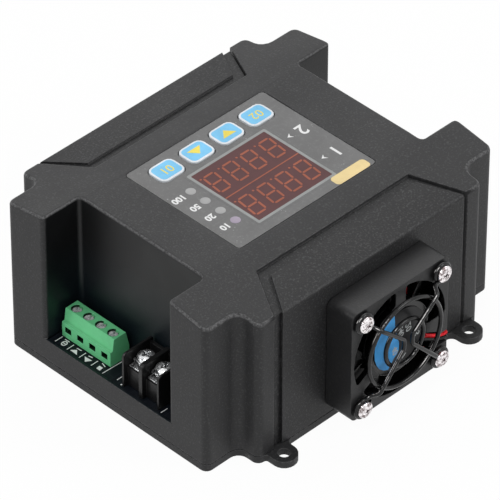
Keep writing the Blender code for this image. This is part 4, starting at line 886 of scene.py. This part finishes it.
def cut_by(bm: bmesh.types.BMesh, tool: bmesh.types.BMesh, operation: str = "DIFFERENCE") -> bmesh.types.BMesh:
    """Boolean of two meshes."""
    holders = []
    for part in (bm, tool):
        mesh = bpy.data.meshes.new("part")
        part.to_mesh(mesh)
        part.free()
        holder = bpy.data.objects.new("part", mesh)
        bpy.context.scene.collection.objects.link(holder)
        holders.append(holder)
    modifier = holders[0].modifiers.new("cut", "BOOLEAN")
    modifier.operation = operation
    modifier.solver = "EXACT"
    modifier.object = holders[1]
    graph = bpy.context.evaluated_depsgraph_get()
    graph.update()
    result = bmesh.new()
    mesh = bpy.data.meshes.new_from_object(holders[0].evaluated_get(graph))
    result.from_mesh(mesh)
    bpy.data.meshes.remove(mesh)
    for holder in holders:
        spent = holder.data
        bpy.data.objects.remove(holder, do_unlink=True)
        bpy.data.meshes.remove(spent)
    return result


# Sub-assemblies


@dataclass
class Frame:
    """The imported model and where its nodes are.

    Attributes:
        nodes: Node objects by name.
        body_of: Body name by node name.
    """

    nodes: dict[str, bpy.types.Object]
    body_of: dict[str, str]

    def solid(self, name: str) -> bmesh.types.BMesh:
        """A merged copy of a node's mesh, its flat faces joined."""
        bm = bmesh.new()
        bm.from_mesh(self.nodes[name].data)
        bmesh.ops.remove_doubles(bm, verts=bm.verts, dist=2e-6)
        bmesh.ops.dissolve_limit(bm, angle_limit=math.radians(0.4), verts=bm.verts, edges=bm.edges)
        return bm

    def dress(self, name: str, finish: Finish, angle: float = 32.0) -> bpy.types.Object:
        """Replace a node by a smooth-shaded copy of it in a finish."""
        return add_piece("dressed_" + name, self.solid(name), finish, self.body_of[name], [name], angle)

    def repaint(self, name: str, finish: Finish) -> None:
        """Give a node that stays as it is a finish."""
        mesh = self.nodes[name].data
        mesh.materials.clear()
        mesh.materials.append(finish.material())


@dataclass
class Housing:
    """Shell, covers and base plate."""

    frame: Frame

    def build(self) -> None:
        """Dress the moulded housing."""
        self.frame.dress("upper_shell", CASE)
        self.frame.dress("base_plate", CASE)
        self.frame.dress("fan_side_cover", COVER)
        self.frame.dress("rear_side_cover", COVER)


@dataclass
class KeyPanel:
    """The printed film with its window, keys, numbers and lenses.

    Attributes:
        frame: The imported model.
        print_height: How far ink stands off the film.
    """

    frame: Frame
    print_height: float = 0.03 * MM
    digit_places: tuple[float, ...] = (-10.55, -2.95, 4.45, 11.95)
    point_places: tuple[float, ...] = (-7.5, 0.0, 7.33, 14.6)
    rows: tuple[tuple[float, float, float], ...] = ((16.45, 12.33, 7.95), (2.1, -2.06, -6.2))
    digit_width: float = 4.25
    stroke: float = 0.70
    slant: float = 0.11
    top: float = field(init=False)

    def __post_init__(self) -> None:
        self.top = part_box("panel_overlay")[1].z

    def mark(self, points: Sequence[Point2], layer: int = 1) -> bmesh.types.BMesh:
        """A printed patch on the film, its points in millimetres."""
        scaled = [(x * MM, y * MM) for x, y in points]
        return prism(scaled, self.top + (layer - 1) * self.print_height + 0.005 * MM,
                     self.top + layer * self.print_height)

    def build(self) -> None:
        """Build everything on the panel."""
        self.frame.dress("panel_overlay", PANEL_FILM)
        self.frame.dress("display_window", WINDOW)
        self.build_window()
        self.build_numbers()
        self.build_lenses()
        for index in range(4):
            self.build_key(index)

    def build_window(self) -> None:
        """The window's printed frame, its divider and its unlit numerals."""
        outer = [(x * MM, y * MM) for x, y in rectangle((0.65, 4.85), (31.9, 29.9), 0.5, 3)]
        inner = [(x * MM, y * MM) for x, y in rectangle((0.65, 4.85), (30.0, 28.0), 0.3, 3)]
        add_piece("window_frame", band(outer, inner, self.top + 0.005 * MM, self.top + self.print_height),
                  FRAME_GREY)
        seal = [(x * MM, y * MM) for x, y in rectangle((0.65, 4.85), (33.4, 31.4), 0.9, 3)]
        add_piece("window_seal", band(seal, outer, self.top + 0.005 * MM, self.top + 0.02 * MM), PANEL_FILM)
        add_piece("window_divider", self.mark([(-14.2, 4.8), (15.5, 4.85), (15.5, 5.25), (-14.2, 5.2)]), SEGMENT)
        for number, row in enumerate(self.rows):
            parts = [part for x in self.digit_places for part in self.digit(x, row)]
            parts += [self.mark(disc((x, row[2] + 0.05), 0.36, 16)) for x in self.point_places]
            add_piece(f"numerals_{number + 1}", merged(parts), SEGMENT)

    def digit(self, middle: float, row: tuple[float, float, float]) -> list[bmesh.types.BMesh]:
        """The seven segments of one numeral.

        Args:
            middle: X of its middle bar.
            row: Heights in Y of its top, middle and bottom bars.

        Returns:
            One mesh for each segment.
        """
        top, centre, bottom = row
        half, wide, gap = self.digit_width / 2, self.stroke / 2, 0.24

        def lean(x: float, y: float) -> Point2:
            return middle + x + (y - centre) * self.slant, y

        parts = []
        for y in row:
            reach = half - gap
            corner = [(-reach, y), (-reach + wide, y + wide), (reach - wide, y + wide), (reach, y),
                      (reach - wide, y - wide), (-reach + wide, y - wide)]
            parts.append(self.mark([lean(a, b) for a, b in corner]))
        for low, high in ((centre, top), (bottom, centre)):
            for side in (-1, 1):
                x = side * half
                a, b = low + gap, high - gap
                corner = [(x, a), (x + wide, a + wide), (x + wide, b - wide), (x, b), (x - wide, b - wide),
                          (x - wide, a + wide)]
                parts.append(self.mark([lean(p, q) for p, q in corner]))
        return parts

    def build_numbers(self) -> None:
        """Plain numbers, arrows and the bare name field, printed on the film."""
        low = self.top + 0.005 * MM
        thick = self.print_height
        parts = [figures("1", 4.6 * MM, (-22.8 * MM, 11.7 * MM), low, thick, 0.0001),
                 figures("2", 4.6 * MM, (-22.8 * MM, -2.2 * MM), low, thick, 0.0001)]
        for y in (11.6, -2.3):
            parts.append(self.mark([(-18.9, y + 1.1), (-17.2, y), (-18.9, y - 1.1), (-18.2, y)]))
        for text, end, y in (("10", 26.6, 13.9), ("20", 26.8, 7.9), ("50", 26.8, 1.8), ("100", 28.2, -4.2)):
            parts.append(figures(text, 2.3 * MM, ((22.6 + end) / 2 * MM, y * MM), low, thick, 0.00012))
        add_piece("panel_numbers", merged(parts), WHITE)
        add_piece("panel_name_field", self.mark(rectangle((-18.8, 21.8), (13.8, 4.0), 1.3)), BEIGE)

    def build_lenses(self) -> None:
        """Four frosted lenses in the film over the light guide."""
        for index, y in enumerate((13.9, 7.8, 1.6, -4.4)):
            finish = LENS_LILAC if index == 0 else LENS
            profile = [(0, 0), (1.55 * MM, 0), (1.55 * MM, 0.03 * MM), (1.35 * MM, 0.09 * MM),
                       (0.7 * MM, 0.13 * MM), (0, 0.14 * MM)]
            lens = placed(spun(profile, 40), Matrix.Translation((20.35 * MM, y * MM, self.top + 0.005 * MM)))
            add_piece(f"lens_{index + 1}", lens, finish)

    def build_key(self, index: int) -> None:
        """A key with a white rim and a yellow mark, riding on its body."""
        node = f"key_{index + 1}"
        self.frame.dress(node, KEY_WHITE, 40)
        low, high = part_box(node)
        x, y, top = (low.x + high.x) / 2 / MM, (low.y + high.y) / 2 / MM, high.z
        low, thick = top + 0.004 * MM, 0.03 * MM
        field_points = [(a * MM, b * MM) for a, b in rectangle((x, y), (8.15, 6.35), 1.5)]
        add_piece(f"key_face_{index + 1}", prism(field_points, low, low + thick), KEY_BLUE, node)
        low += thick
        triangle = [(-2.6, -1.5), (2.6, -1.5), (0, 1.5)]
        if index in (1, 2):
            side = 1 if index == 2 else -1
            shape = [((x + a) * MM, (y + side * b) * MM) for a, b in triangle]
            mark = prism(shape, low, low + thick)
        else:
            mark = figures("01" if index == 3 else "02", 3.2 * MM, (x * MM, y * MM), low, thick)
        add_piece(f"key_mark_{index + 1}", mark, YELLOW, node)


@dataclass
class Terminals:
    """Both recesses: boards, terminals and what is printed beside them."""

    frame: Frame

    def build(self) -> None:
        """Dress the terminals and print the board."""
        self.frame.dress("main_board", BOARD)
        self.frame.dress("signal_terminal_housing", TERMINAL_GREEN)
        for index in range(1, 5):
            self.frame.dress(f"signal_screw_{index}", ZINC)
            self.frame.dress(f"signal_cage_{index}", SHADED_CAGE_STEEL)
        for prefix in ("output", "input"):
            self.frame.dress(f"{prefix}_barrier_block", TERMINAL_BLACK)
            for index in (1, 2):
                for kind in ("screw", "washer", "plate"):
                    self.frame.dress(f"{prefix}_{kind}_{index}", CLAMP_STEEL)
        self.build_silkscreen()

    def build_silkscreen(self) -> None:
        """White lines and plain signs printed on the board in front of the terminals."""
        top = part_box("main_board")[1].z + 0.005 * MM
        thick = 0.03 * MM
        parts = []

        def patch(points: Sequence[Point2]) -> None:
            parts.append(prism([(a * MM, b * MM) for a, b in points], top, top + thick))

        def stroke(start: Point2, end: Point2, wide: float = 0.26) -> None:
            way = (Vector(end) - Vector(start)).normalized() * wide / 2
            patch([(start[0] - way.y, start[1] + way.x), (end[0] - way.y, end[1] + way.x),
                   (end[0] + way.y, end[1] - way.x), (start[0] + way.y, start[1] - way.x)])

        for x0, x1, y in ((54.75, 57.4, 20.75), (54.25, 56.35, 1.5), (54.25, 57.25, -23.65),
                          (54.45, 57.3, -8.45), (54.45, 57.3, -13.5), (54.45, 57.3, -18.6)):
            stroke((x0, y), (x1, y))
        stroke((49.7, -3.3), (57.35, -3.6))
        for start, end in (((54.87, -16.88), (54.71, -15.15)), ((54.87, -12.03), (54.56, -10.59)),
                           ((54.27, -6.85), (54.81, -5.07)), ((54.58, -22.28), (54.5, -20.37))):
            stroke(start, end, 0.3)
        for shape in (disc((56.9, 3.85), 0.3, 12),
                      [(57.06, -6.49), (55.57, -6.63), (55.57, -5.2), (57.08, -5.01)],
                      [(55.79, -12.63), (55.58, -9.72), (57.42, -10.92)],
                      [(56.84, -17.77), (55.38, -16.31), (56.96, -14.73)]):
            patch(shape)
        ring, hole = ([((56.0 + a * size) * MM, (-21.05 + b * size) * MM)
                       for a, b in ((1.1 * math.cos(t), 0.9 * math.sin(t)) for t in
                                    (math.tau * i / 28 for i in range(28)))] for size in (1.0, 0.66))
        parts.append(band(ring, hole, top, top + thick))
        stroke((56.0, -21.7), (56.0, -20.4), 0.3)
        add_piece("board_print", merged(parts), SILK)


@dataclass
class CoolingFan:
    """The fan: frame, rotor, label, leads, guard and screws.

    Attributes:
        frame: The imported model.
        wire: Thickness of the guard's wire.
        rings: Radius of each ring of the guard and its middle from the fan's axis, in millimetres.
        corner: Where the strands would cross, from the fan's axis, in millimetres.
        cut: How far each strand's corner is cut off, in millimetres.
        eyelet: Radius of the eyelets round the screws.
        web: Width of the webs that hold the motor.
        head: Radius and rise of a screw's head.
    """

    frame: Frame
    wire: float = 1.4 * MM
    rings: tuple[tuple[float, Point2], ...] = ((14.85, (0.35, 0.5)), (7.8, (0.65, 0.75)))
    corner: Point2 = (0.45, 1.65)
    cut: float = 1.65
    eyelet: float = 2.9 * MM
    web: float = 4.0 * MM
    head: Point2 = (2.7 * MM, 1.25 * MM)
    half: float = field(init=False)
    front: float = field(init=False)
    centre: Point2 = field(init=False)

    def __post_init__(self) -> None:
        low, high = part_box("fan_frame")
        self.front = high.y
        label_low, label_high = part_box("fan_label")
        self.centre = ((label_low.x + label_high.x) / 2, (label_low.z + label_high.z) / 2)
        self.half = (high.z - low.z) / 2 - 4.0 * MM

    def build(self) -> None:
        """Build the whole fan."""
        self.frame.dress("fan_frame", FAN_PLASTIC)
        self.frame.dress("fan_shaft", DULL_STEEL)
        self.frame.dress("fan_stator", COPPER)
        self.frame.dress("fan_rotor", BLADE_PLASTIC)
        self.frame.dress("fan_lead_black", WIRE_BLACK)
        self.build_red_lead()
        self.build_webs()
        self.build_guard()
        self.build_label()
        for index in range(1, 5):
            self.build_screw(index)

    def at(self, x: float, z: float, y: float) -> Point3:
        """A point given from the fan's axis, in metres."""
        return self.centre[0] + x, y, self.centre[1] + z

    def build_red_lead(self) -> None:
        """The lead with thicker insulation where it shows between the motor and the frame's side."""
        self.frame.dress("fan_lead_red", WIRE_RED)
        level = self.front - 1.75 * MM
        path = [(-11.35 * MM, level, 19.35 * MM), (-13.3 * MM, level, 18.3 * MM),
                (-15.5 * MM, level, 17.1 * MM), (-18.2 * MM, level, 15.75 * MM)]
        add_piece("lead_sleeve_red", tube(eased(path, 2), 0.88 * MM, sides=6), WIRE_RED)

    def build_webs(self) -> None:
        """Broad webs from the motor's seat to the frame, with rounded corners in the openings."""
        root, tip, round_by = 11.6 * MM, 19.3 * MM, 1.3 * MM
        low, high = self.front - 1.9 * MM, self.front + 0.02 * MM
        for number, angle in enumerate((90, 330), start=1):
            side = []
            for step in range(7):
                turn = math.pi / 2 * step / 6
                flare = self.web / 2 + round_by * (1 - math.sin(turn))
                side.append((root + 1.1 * MM + round_by * (1 - math.cos(turn)), flare))
            for step in range(7):
                turn = math.pi / 2 * step / 6
                side.append((tip - 0.6 * MM - round_by * (1 - math.sin(turn)),
                             self.web / 2 + round_by * (1 - math.cos(turn))))
            outline = [(root, side[0][1])] + side + [(tip, side[-1][1])]
            outline += [(u, -v) for u, v in reversed(outline)]
            turned = Matrix.Rotation(math.radians(angle), 2)
            points = [tuple(turned @ Vector(point) + Vector(self.centre)) for point in outline]
            add_piece(f"fan_web_{number}", facing_fan(prism(points, low, high)), FAN_PLASTIC)
        ledge = [(-12.3, 24.9), (-12.9, 24.5), (-18.6, 24.5), (-19.5, 24.9), (-20.3, 25.9), (-20.5, 24.0),
                 (-20.1, 20.9), (-19.3, 18.4), (-18.7, 17.9), (-12.3, 21.3)]
        shelf = prism([(x * MM, z * MM) for x, z in ledge], self.front - 1.0 * MM, high)
        add_piece("fan_web_3", facing_fan(shelf), FAN_PLASTIC)

    def build_guard(self) -> None:
        """Two rings and two bent strands of lacquered wire, with an eyelet at each screw."""
        plane = self.front + 2.5 * MM
        radius = self.wire / 2
        parts = []
        for size, shift in self.rings:
            path = [self.at(shift[0] * MM + size * MM * math.cos(turn), shift[1] * MM + size * MM * math.sin(turn),
                            plane) for turn in (math.tau * i / 96 for i in range(96))]
            parts.append(tube(path, radius, closed=True, sides=5))
        for side in (1, -1):
            bend = Vector((self.corner[0] + side * self.cut, self.corner[1])) * MM
            upper = self.arm(Vector((side * self.half, self.half)), bend + Vector((0, self.cut * MM)), side)
            lower = self.arm(Vector((side * self.half, -self.half)), bend - Vector((0, self.cut * MM)), -side)
            parts.append(tube(eased(upper + lower[::-1], 3), radius, sides=5))
        add_piece("guard_wires", merged(parts), GUARD, stands_for=["finger_guard"], angle=70)

    def arm(self, screw: Vector, bend: Vector, turn: int) -> list[Point3]:
        """Path of half a strand, round a screw's eyelet and in to the bend.

        Args:
            screw: The screw's place from the fan's axis.
            bend: Where the arm ends, from the fan's axis.
            turn: 1 or -1, the way round the screw.

        Returns:
            Its points, from the eyelet inwards.
        """
        eye = self.front + 0.3 * MM + self.wire / 2
        top = self.front + 2.5 * MM + self.wire * 0.92
        away = bend - screw
        heading = math.atan2(away.y, away.x)
        way = away.normalized()
        points = []
        for step in range(19):
            angle = heading + turn * math.radians(336 - 324 * step / 18)
            points.append(self.at(screw.x + self.eyelet * math.cos(angle), screw.y + self.eyelet * math.sin(angle),
                                  eye))
        leave = self.eyelet + self.wire
        for off, level in ((leave, eye + 0.2 * MM), (leave + 1.7 * MM, top - 0.2 * MM), (leave + 2.9 * MM, top),
                           (away.length - 3.5 * MM, top), (away.length - 1.2 * MM, top), (away.length, top)):
            points.append(self.at(screw.x + way.x * off, screw.y + way.y * off, level))
        return points

    def build_screw(self, index: int) -> None:
        """A chromed pan-head screw with a cross recess."""
        node = f"fan_screw_{index}"
        low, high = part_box(node)
        x, z = (low.x + high.x) / 2, (low.z + high.z) / 2
        wide, rise = self.head
        under = self.front + 0.3 * MM + self.wire + 0.05 * MM
        shank = 1.45 * MM
        profile = [(0, low.y), (shank * 0.6, low.y), (shank, low.y + 0.8 * MM), (shank, under), (wide, under)]
        for step in range(8):
            turn = math.pi / 2 * step / 7
            profile.append((wide * (0.62 + 0.38 * math.cos(turn)), under + rise * (0.25 + 0.6 * math.sin(turn))))
        profile.append((0, under + rise))
        screw = spun(profile, 40)
        for turn in (0.0, math.pi / 2):
            slot = spun([(0, -2.2 * MM), (0.26 * MM, -2.2 * MM), (0.40 * MM, 0), (0, 0)], 4)
            bmesh.ops.scale(slot, vec=(4.6, 1.15, 1.0), verts=slot.verts)
            slot = placed(slot, Matrix.Translation((0, 0, under + rise + 1.2 * MM))
                          @ Matrix.Rotation(turn + 0.6 * index, 4, "Z"))
            screw = cut_by(screw, slot)
        screw = facing_fan(screw)
        bmesh.ops.translate(screw, vec=(x, 0, z), verts=screw.verts)
        add_piece(f"screw_{index}", screw, STEEL, "case", [node], 30)

    def build_label(self) -> None:
        """A round label, dark with a blue field and plain numbers."""
        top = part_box("fan_label")[1].y
        self.frame.dress("fan_label", LABEL_DARK)
        field_points = [(1.17, 35.6), (0.95, 33.4), (0.85, 31.3), (0.3, 28.6), (-1.0, 24.1), (-0.95, 22.6),
                        (-0.9, 21.6), (-0.2, 20.4), (0.95, 19.6), (2.2, 18.0), (3.4, 16.6), (5.2, 17.4),
                        (7.0, 19.0), (8.2, 21.0), (9.0, 23.4), (9.2, 26.0), (8.8, 29.0), (7.6, 31.8), (5.9, 33.9),
                        (3.8, 35.2)]
        blue = prism([(x * MM, z * MM) for x, z in field_points], top + 0.01 * MM, top + 0.04 * MM)
        add_piece("label_blue_field", facing_fan(blue), LABEL_BLUE)
        parts = []
        for text, height, x, z in (("240", 2.1, -1.7, 28.2), ("120", 2.3, -4.7, 28.8), ("40", 2.2, 0.6, 22.2),
                                   ("07", 1.9, -3.1, 18.9), ("15", 1.9, -8.5, 24.0)):
            parts.append(figures(text, height * MM, (x * MM, z * MM), top + 0.045 * MM, 0.03 * MM, 0.00005,
                                 math.radians(-102)))
        add_piece("label_numbers", facing_fan(merged(parts)), LABEL_INK)


@dataclass
class Insides:
    """What lies inside the case, seen only through the fan and the vents."""

    frame: Frame

    def build(self) -> None:
        """Give every inner node its finish."""
        plan = {
            CASE: ("case_screw_1", "case_screw_2", "case_screw_3", "case_screw_4"),
            DISPLAY: ("voltage_display", "current_display"),
            PIPE: ("indicator_light_pipe",),
            TERMINAL_BLACK: ("key_switch_strip", "power_transistor"),
            BOARD: ("control_board",),
            ALUMINIUM: ("heatsink",),
            COPPER: ("power_coil",),
            SLEEVE: ("input_capacitor",),
            RIBBON: ("ribbon_cable",),
        }
        for finish, names in plan.items():
            for name in names:
                self.frame.repaint(name, DULL_STEEL if name.startswith("case_screw") else finish)


# Studio


@dataclass(frozen=True)
class Viewpoint:
    """Where the photograph was taken from.

    Attributes:
        azimuth: Degrees from +X towards +Y.
        elevation: Degrees above the horizon.
        roll: Degrees.
        distance: Metres to the target.
        target: The point looked at.
        focal: Focal length in pixels of a 500 pixel frame.
        principal: Where the axis meets that frame.
    """

    azimuth: float = 44.94
    elevation: float = 39.55
    roll: float = 0.15
    distance: float = 1.588
    target: Point3 = (0.0, 0.0, 0.026)
    focal: float = 5411.0
    principal: Point2 = (251.2, 246.6)
    frame: float = 500.0

    def build(self) -> bpy.types.Object:
        """Add the camera."""
        a, e, r = (math.radians(value) for value in (self.azimuth, self.elevation, self.roll))
        back = Vector((math.cos(e) * math.cos(a), math.cos(e) * math.sin(a), math.sin(e)))
        right = (-back).cross(Vector((0, 0, 1))).normalized()
        up = right.cross(-back)
        level_right = right * math.cos(r) + up * math.sin(r)
        level_up = up * math.cos(r) - right * math.sin(r)
        data = bpy.data.cameras.new("camera")
        data.sensor_width = 36.0
        data.lens = self.focal / self.frame * data.sensor_width
        data.shift_x = (self.frame / 2 - self.principal[0]) / self.frame
        data.shift_y = (self.principal[1] - self.frame / 2) / self.frame
        camera = bpy.data.objects.new("camera", data)
        bpy.context.scene.collection.objects.link(camera)
        turn = Matrix((level_right, level_up, back)).transposed().to_4x4()
        camera.matrix_world = Matrix.Translation(Vector(self.target) + back * self.distance) @ turn
        bpy.context.scene.camera = camera
        return camera


@dataclass(frozen=True)
class Lamp:
    """A soft square lamp.

    Attributes:
        name: Its name.
        azimuth: Degrees from +X towards +Y.
        elevation: Degrees above the horizon.
        distance: Metres from the object.
        size: Its side in metres.
        power: Watts.
    """

    name: str
    azimuth: float
    elevation: float
    distance: float
    size: float
    power: float

    def build(self) -> None:
        """Add the lamp, facing the object."""
        data = bpy.data.lights.new(self.name, "AREA")
        data.size = self.size
        data.energy = self.power
        made = bpy.data.objects.new(self.name, data)
        bpy.context.scene.collection.objects.link(made)
        a, e = math.radians(self.azimuth), math.radians(self.elevation)
        away = Vector((math.cos(e) * math.cos(a), math.cos(e) * math.sin(a), math.sin(e)))
        made.location = away * self.distance + Vector((0, 0, 0.03))
        made.rotation_euler = away.to_track_quat("Z", "Y").to_euler()


def shown(tree: Tree) -> bpy.types.NodeSocket:
    """1 for the camera and for what metal, gloss and glass show of the background."""
    rays = tree.add("LightPath")
    direct = tree.math("MAXIMUM", rays.outputs["Is Camera Ray"], rays.outputs["Is Glossy Ray"])
    return tree.math("MAXIMUM", direct, rays.outputs["Is Transmission Ray"])


@dataclass
class Studio:
    """Camera, lamps, world and floor."""

    lamps: tuple[Lamp, ...] = (
        Lamp("lamp_back", 225.0, 46.0, 1.3, 1.1, 5.2),
        Lamp("lamp_left", -38.0, 32.0, 1.1, 0.16, 1.5),
        Lamp("lamp_front", 22.0, 54.0, 1.2, 0.20, 3.3),
        Lamp("lamp_right", 122.0, 38.0, 1.1, 0.45, 3.5),
    )

    def build(self) -> None:
        """Set the stage."""
        Viewpoint().build()
        for lamp in self.lamps:
            lamp.build()
        self.build_world()
        self.build_floor()
        bpy.context.scene.view_settings.view_transform = "Standard"

    def build_world(self) -> None:
        """A pale world that is white to the camera."""
        world = bpy.data.worlds.new("world")
        bpy.context.scene.world = world
        world.use_nodes = True
        tree = Tree(world.node_tree)
        ground = world.node_tree.nodes["Background"]
        ground.inputs["Color"].default_value = (1.0, 1.0, 1.0, 1.0)
        tree.link(tree.ramp(shown(tree), 0.0, 1.0, 0.42, 1.0), ground.inputs["Strength"])

    def build_floor(self) -> None:
        """A pale floor that keeps the object's shadow."""
        bm = bmesh.new()
        bmesh.ops.create_grid(bm, x_segments=1, y_segments=1, size=6.0)
        mesh = bpy.data.meshes.new("floor")
        bm.to_mesh(mesh)
        bm.free()
        floor = bpy.data.objects.new("floor", mesh)
        floor.location = (0, 0, -0.0002)
        bpy.context.scene.collection.objects.link(floor)
        made = bpy.data.materials.new("floor_white")
        made.use_nodes = True
        tree = Tree(made.node_tree)
        made.node_tree.nodes.clear()
        matt = tree.add("BsdfDiffuse", Color=(0.92, 0.92, 0.92, 1.0))
        glow = tree.add("Emission", Color=(1, 1, 1, 1), Strength=1.0)
        mix = tree.add("MixShader")
        tree.link(tree.math("MULTIPLY", shown(tree), 0.96), mix.inputs[0])
        tree.link(matt.outputs[0], mix.inputs[1])
        tree.link(glow.outputs[0], mix.inputs[2])
        end = tree.add("OutputMaterial")
        tree.link(mix.outputs[0], end.inputs["Surface"])
        mesh.materials.append(made)


def main() -> None:
    """Load the frame, dress it and light it."""
    logging.basicConfig(level=logging.INFO)
    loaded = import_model()
    body_of = {node: body for body, nodes in loaded["record"]["behaviour"]["bodies"].items() for node in nodes}
    frame = Frame(loaded["nodes"], body_of)
    Studio().build()
    for part in (Housing(frame), KeyPanel(frame), Terminals(frame), CoolingFan(frame), Insides(frame)):
        LOG.info("building %s", type(part).__name__)
        part.build()


if __name__ == "__main__":
    main()
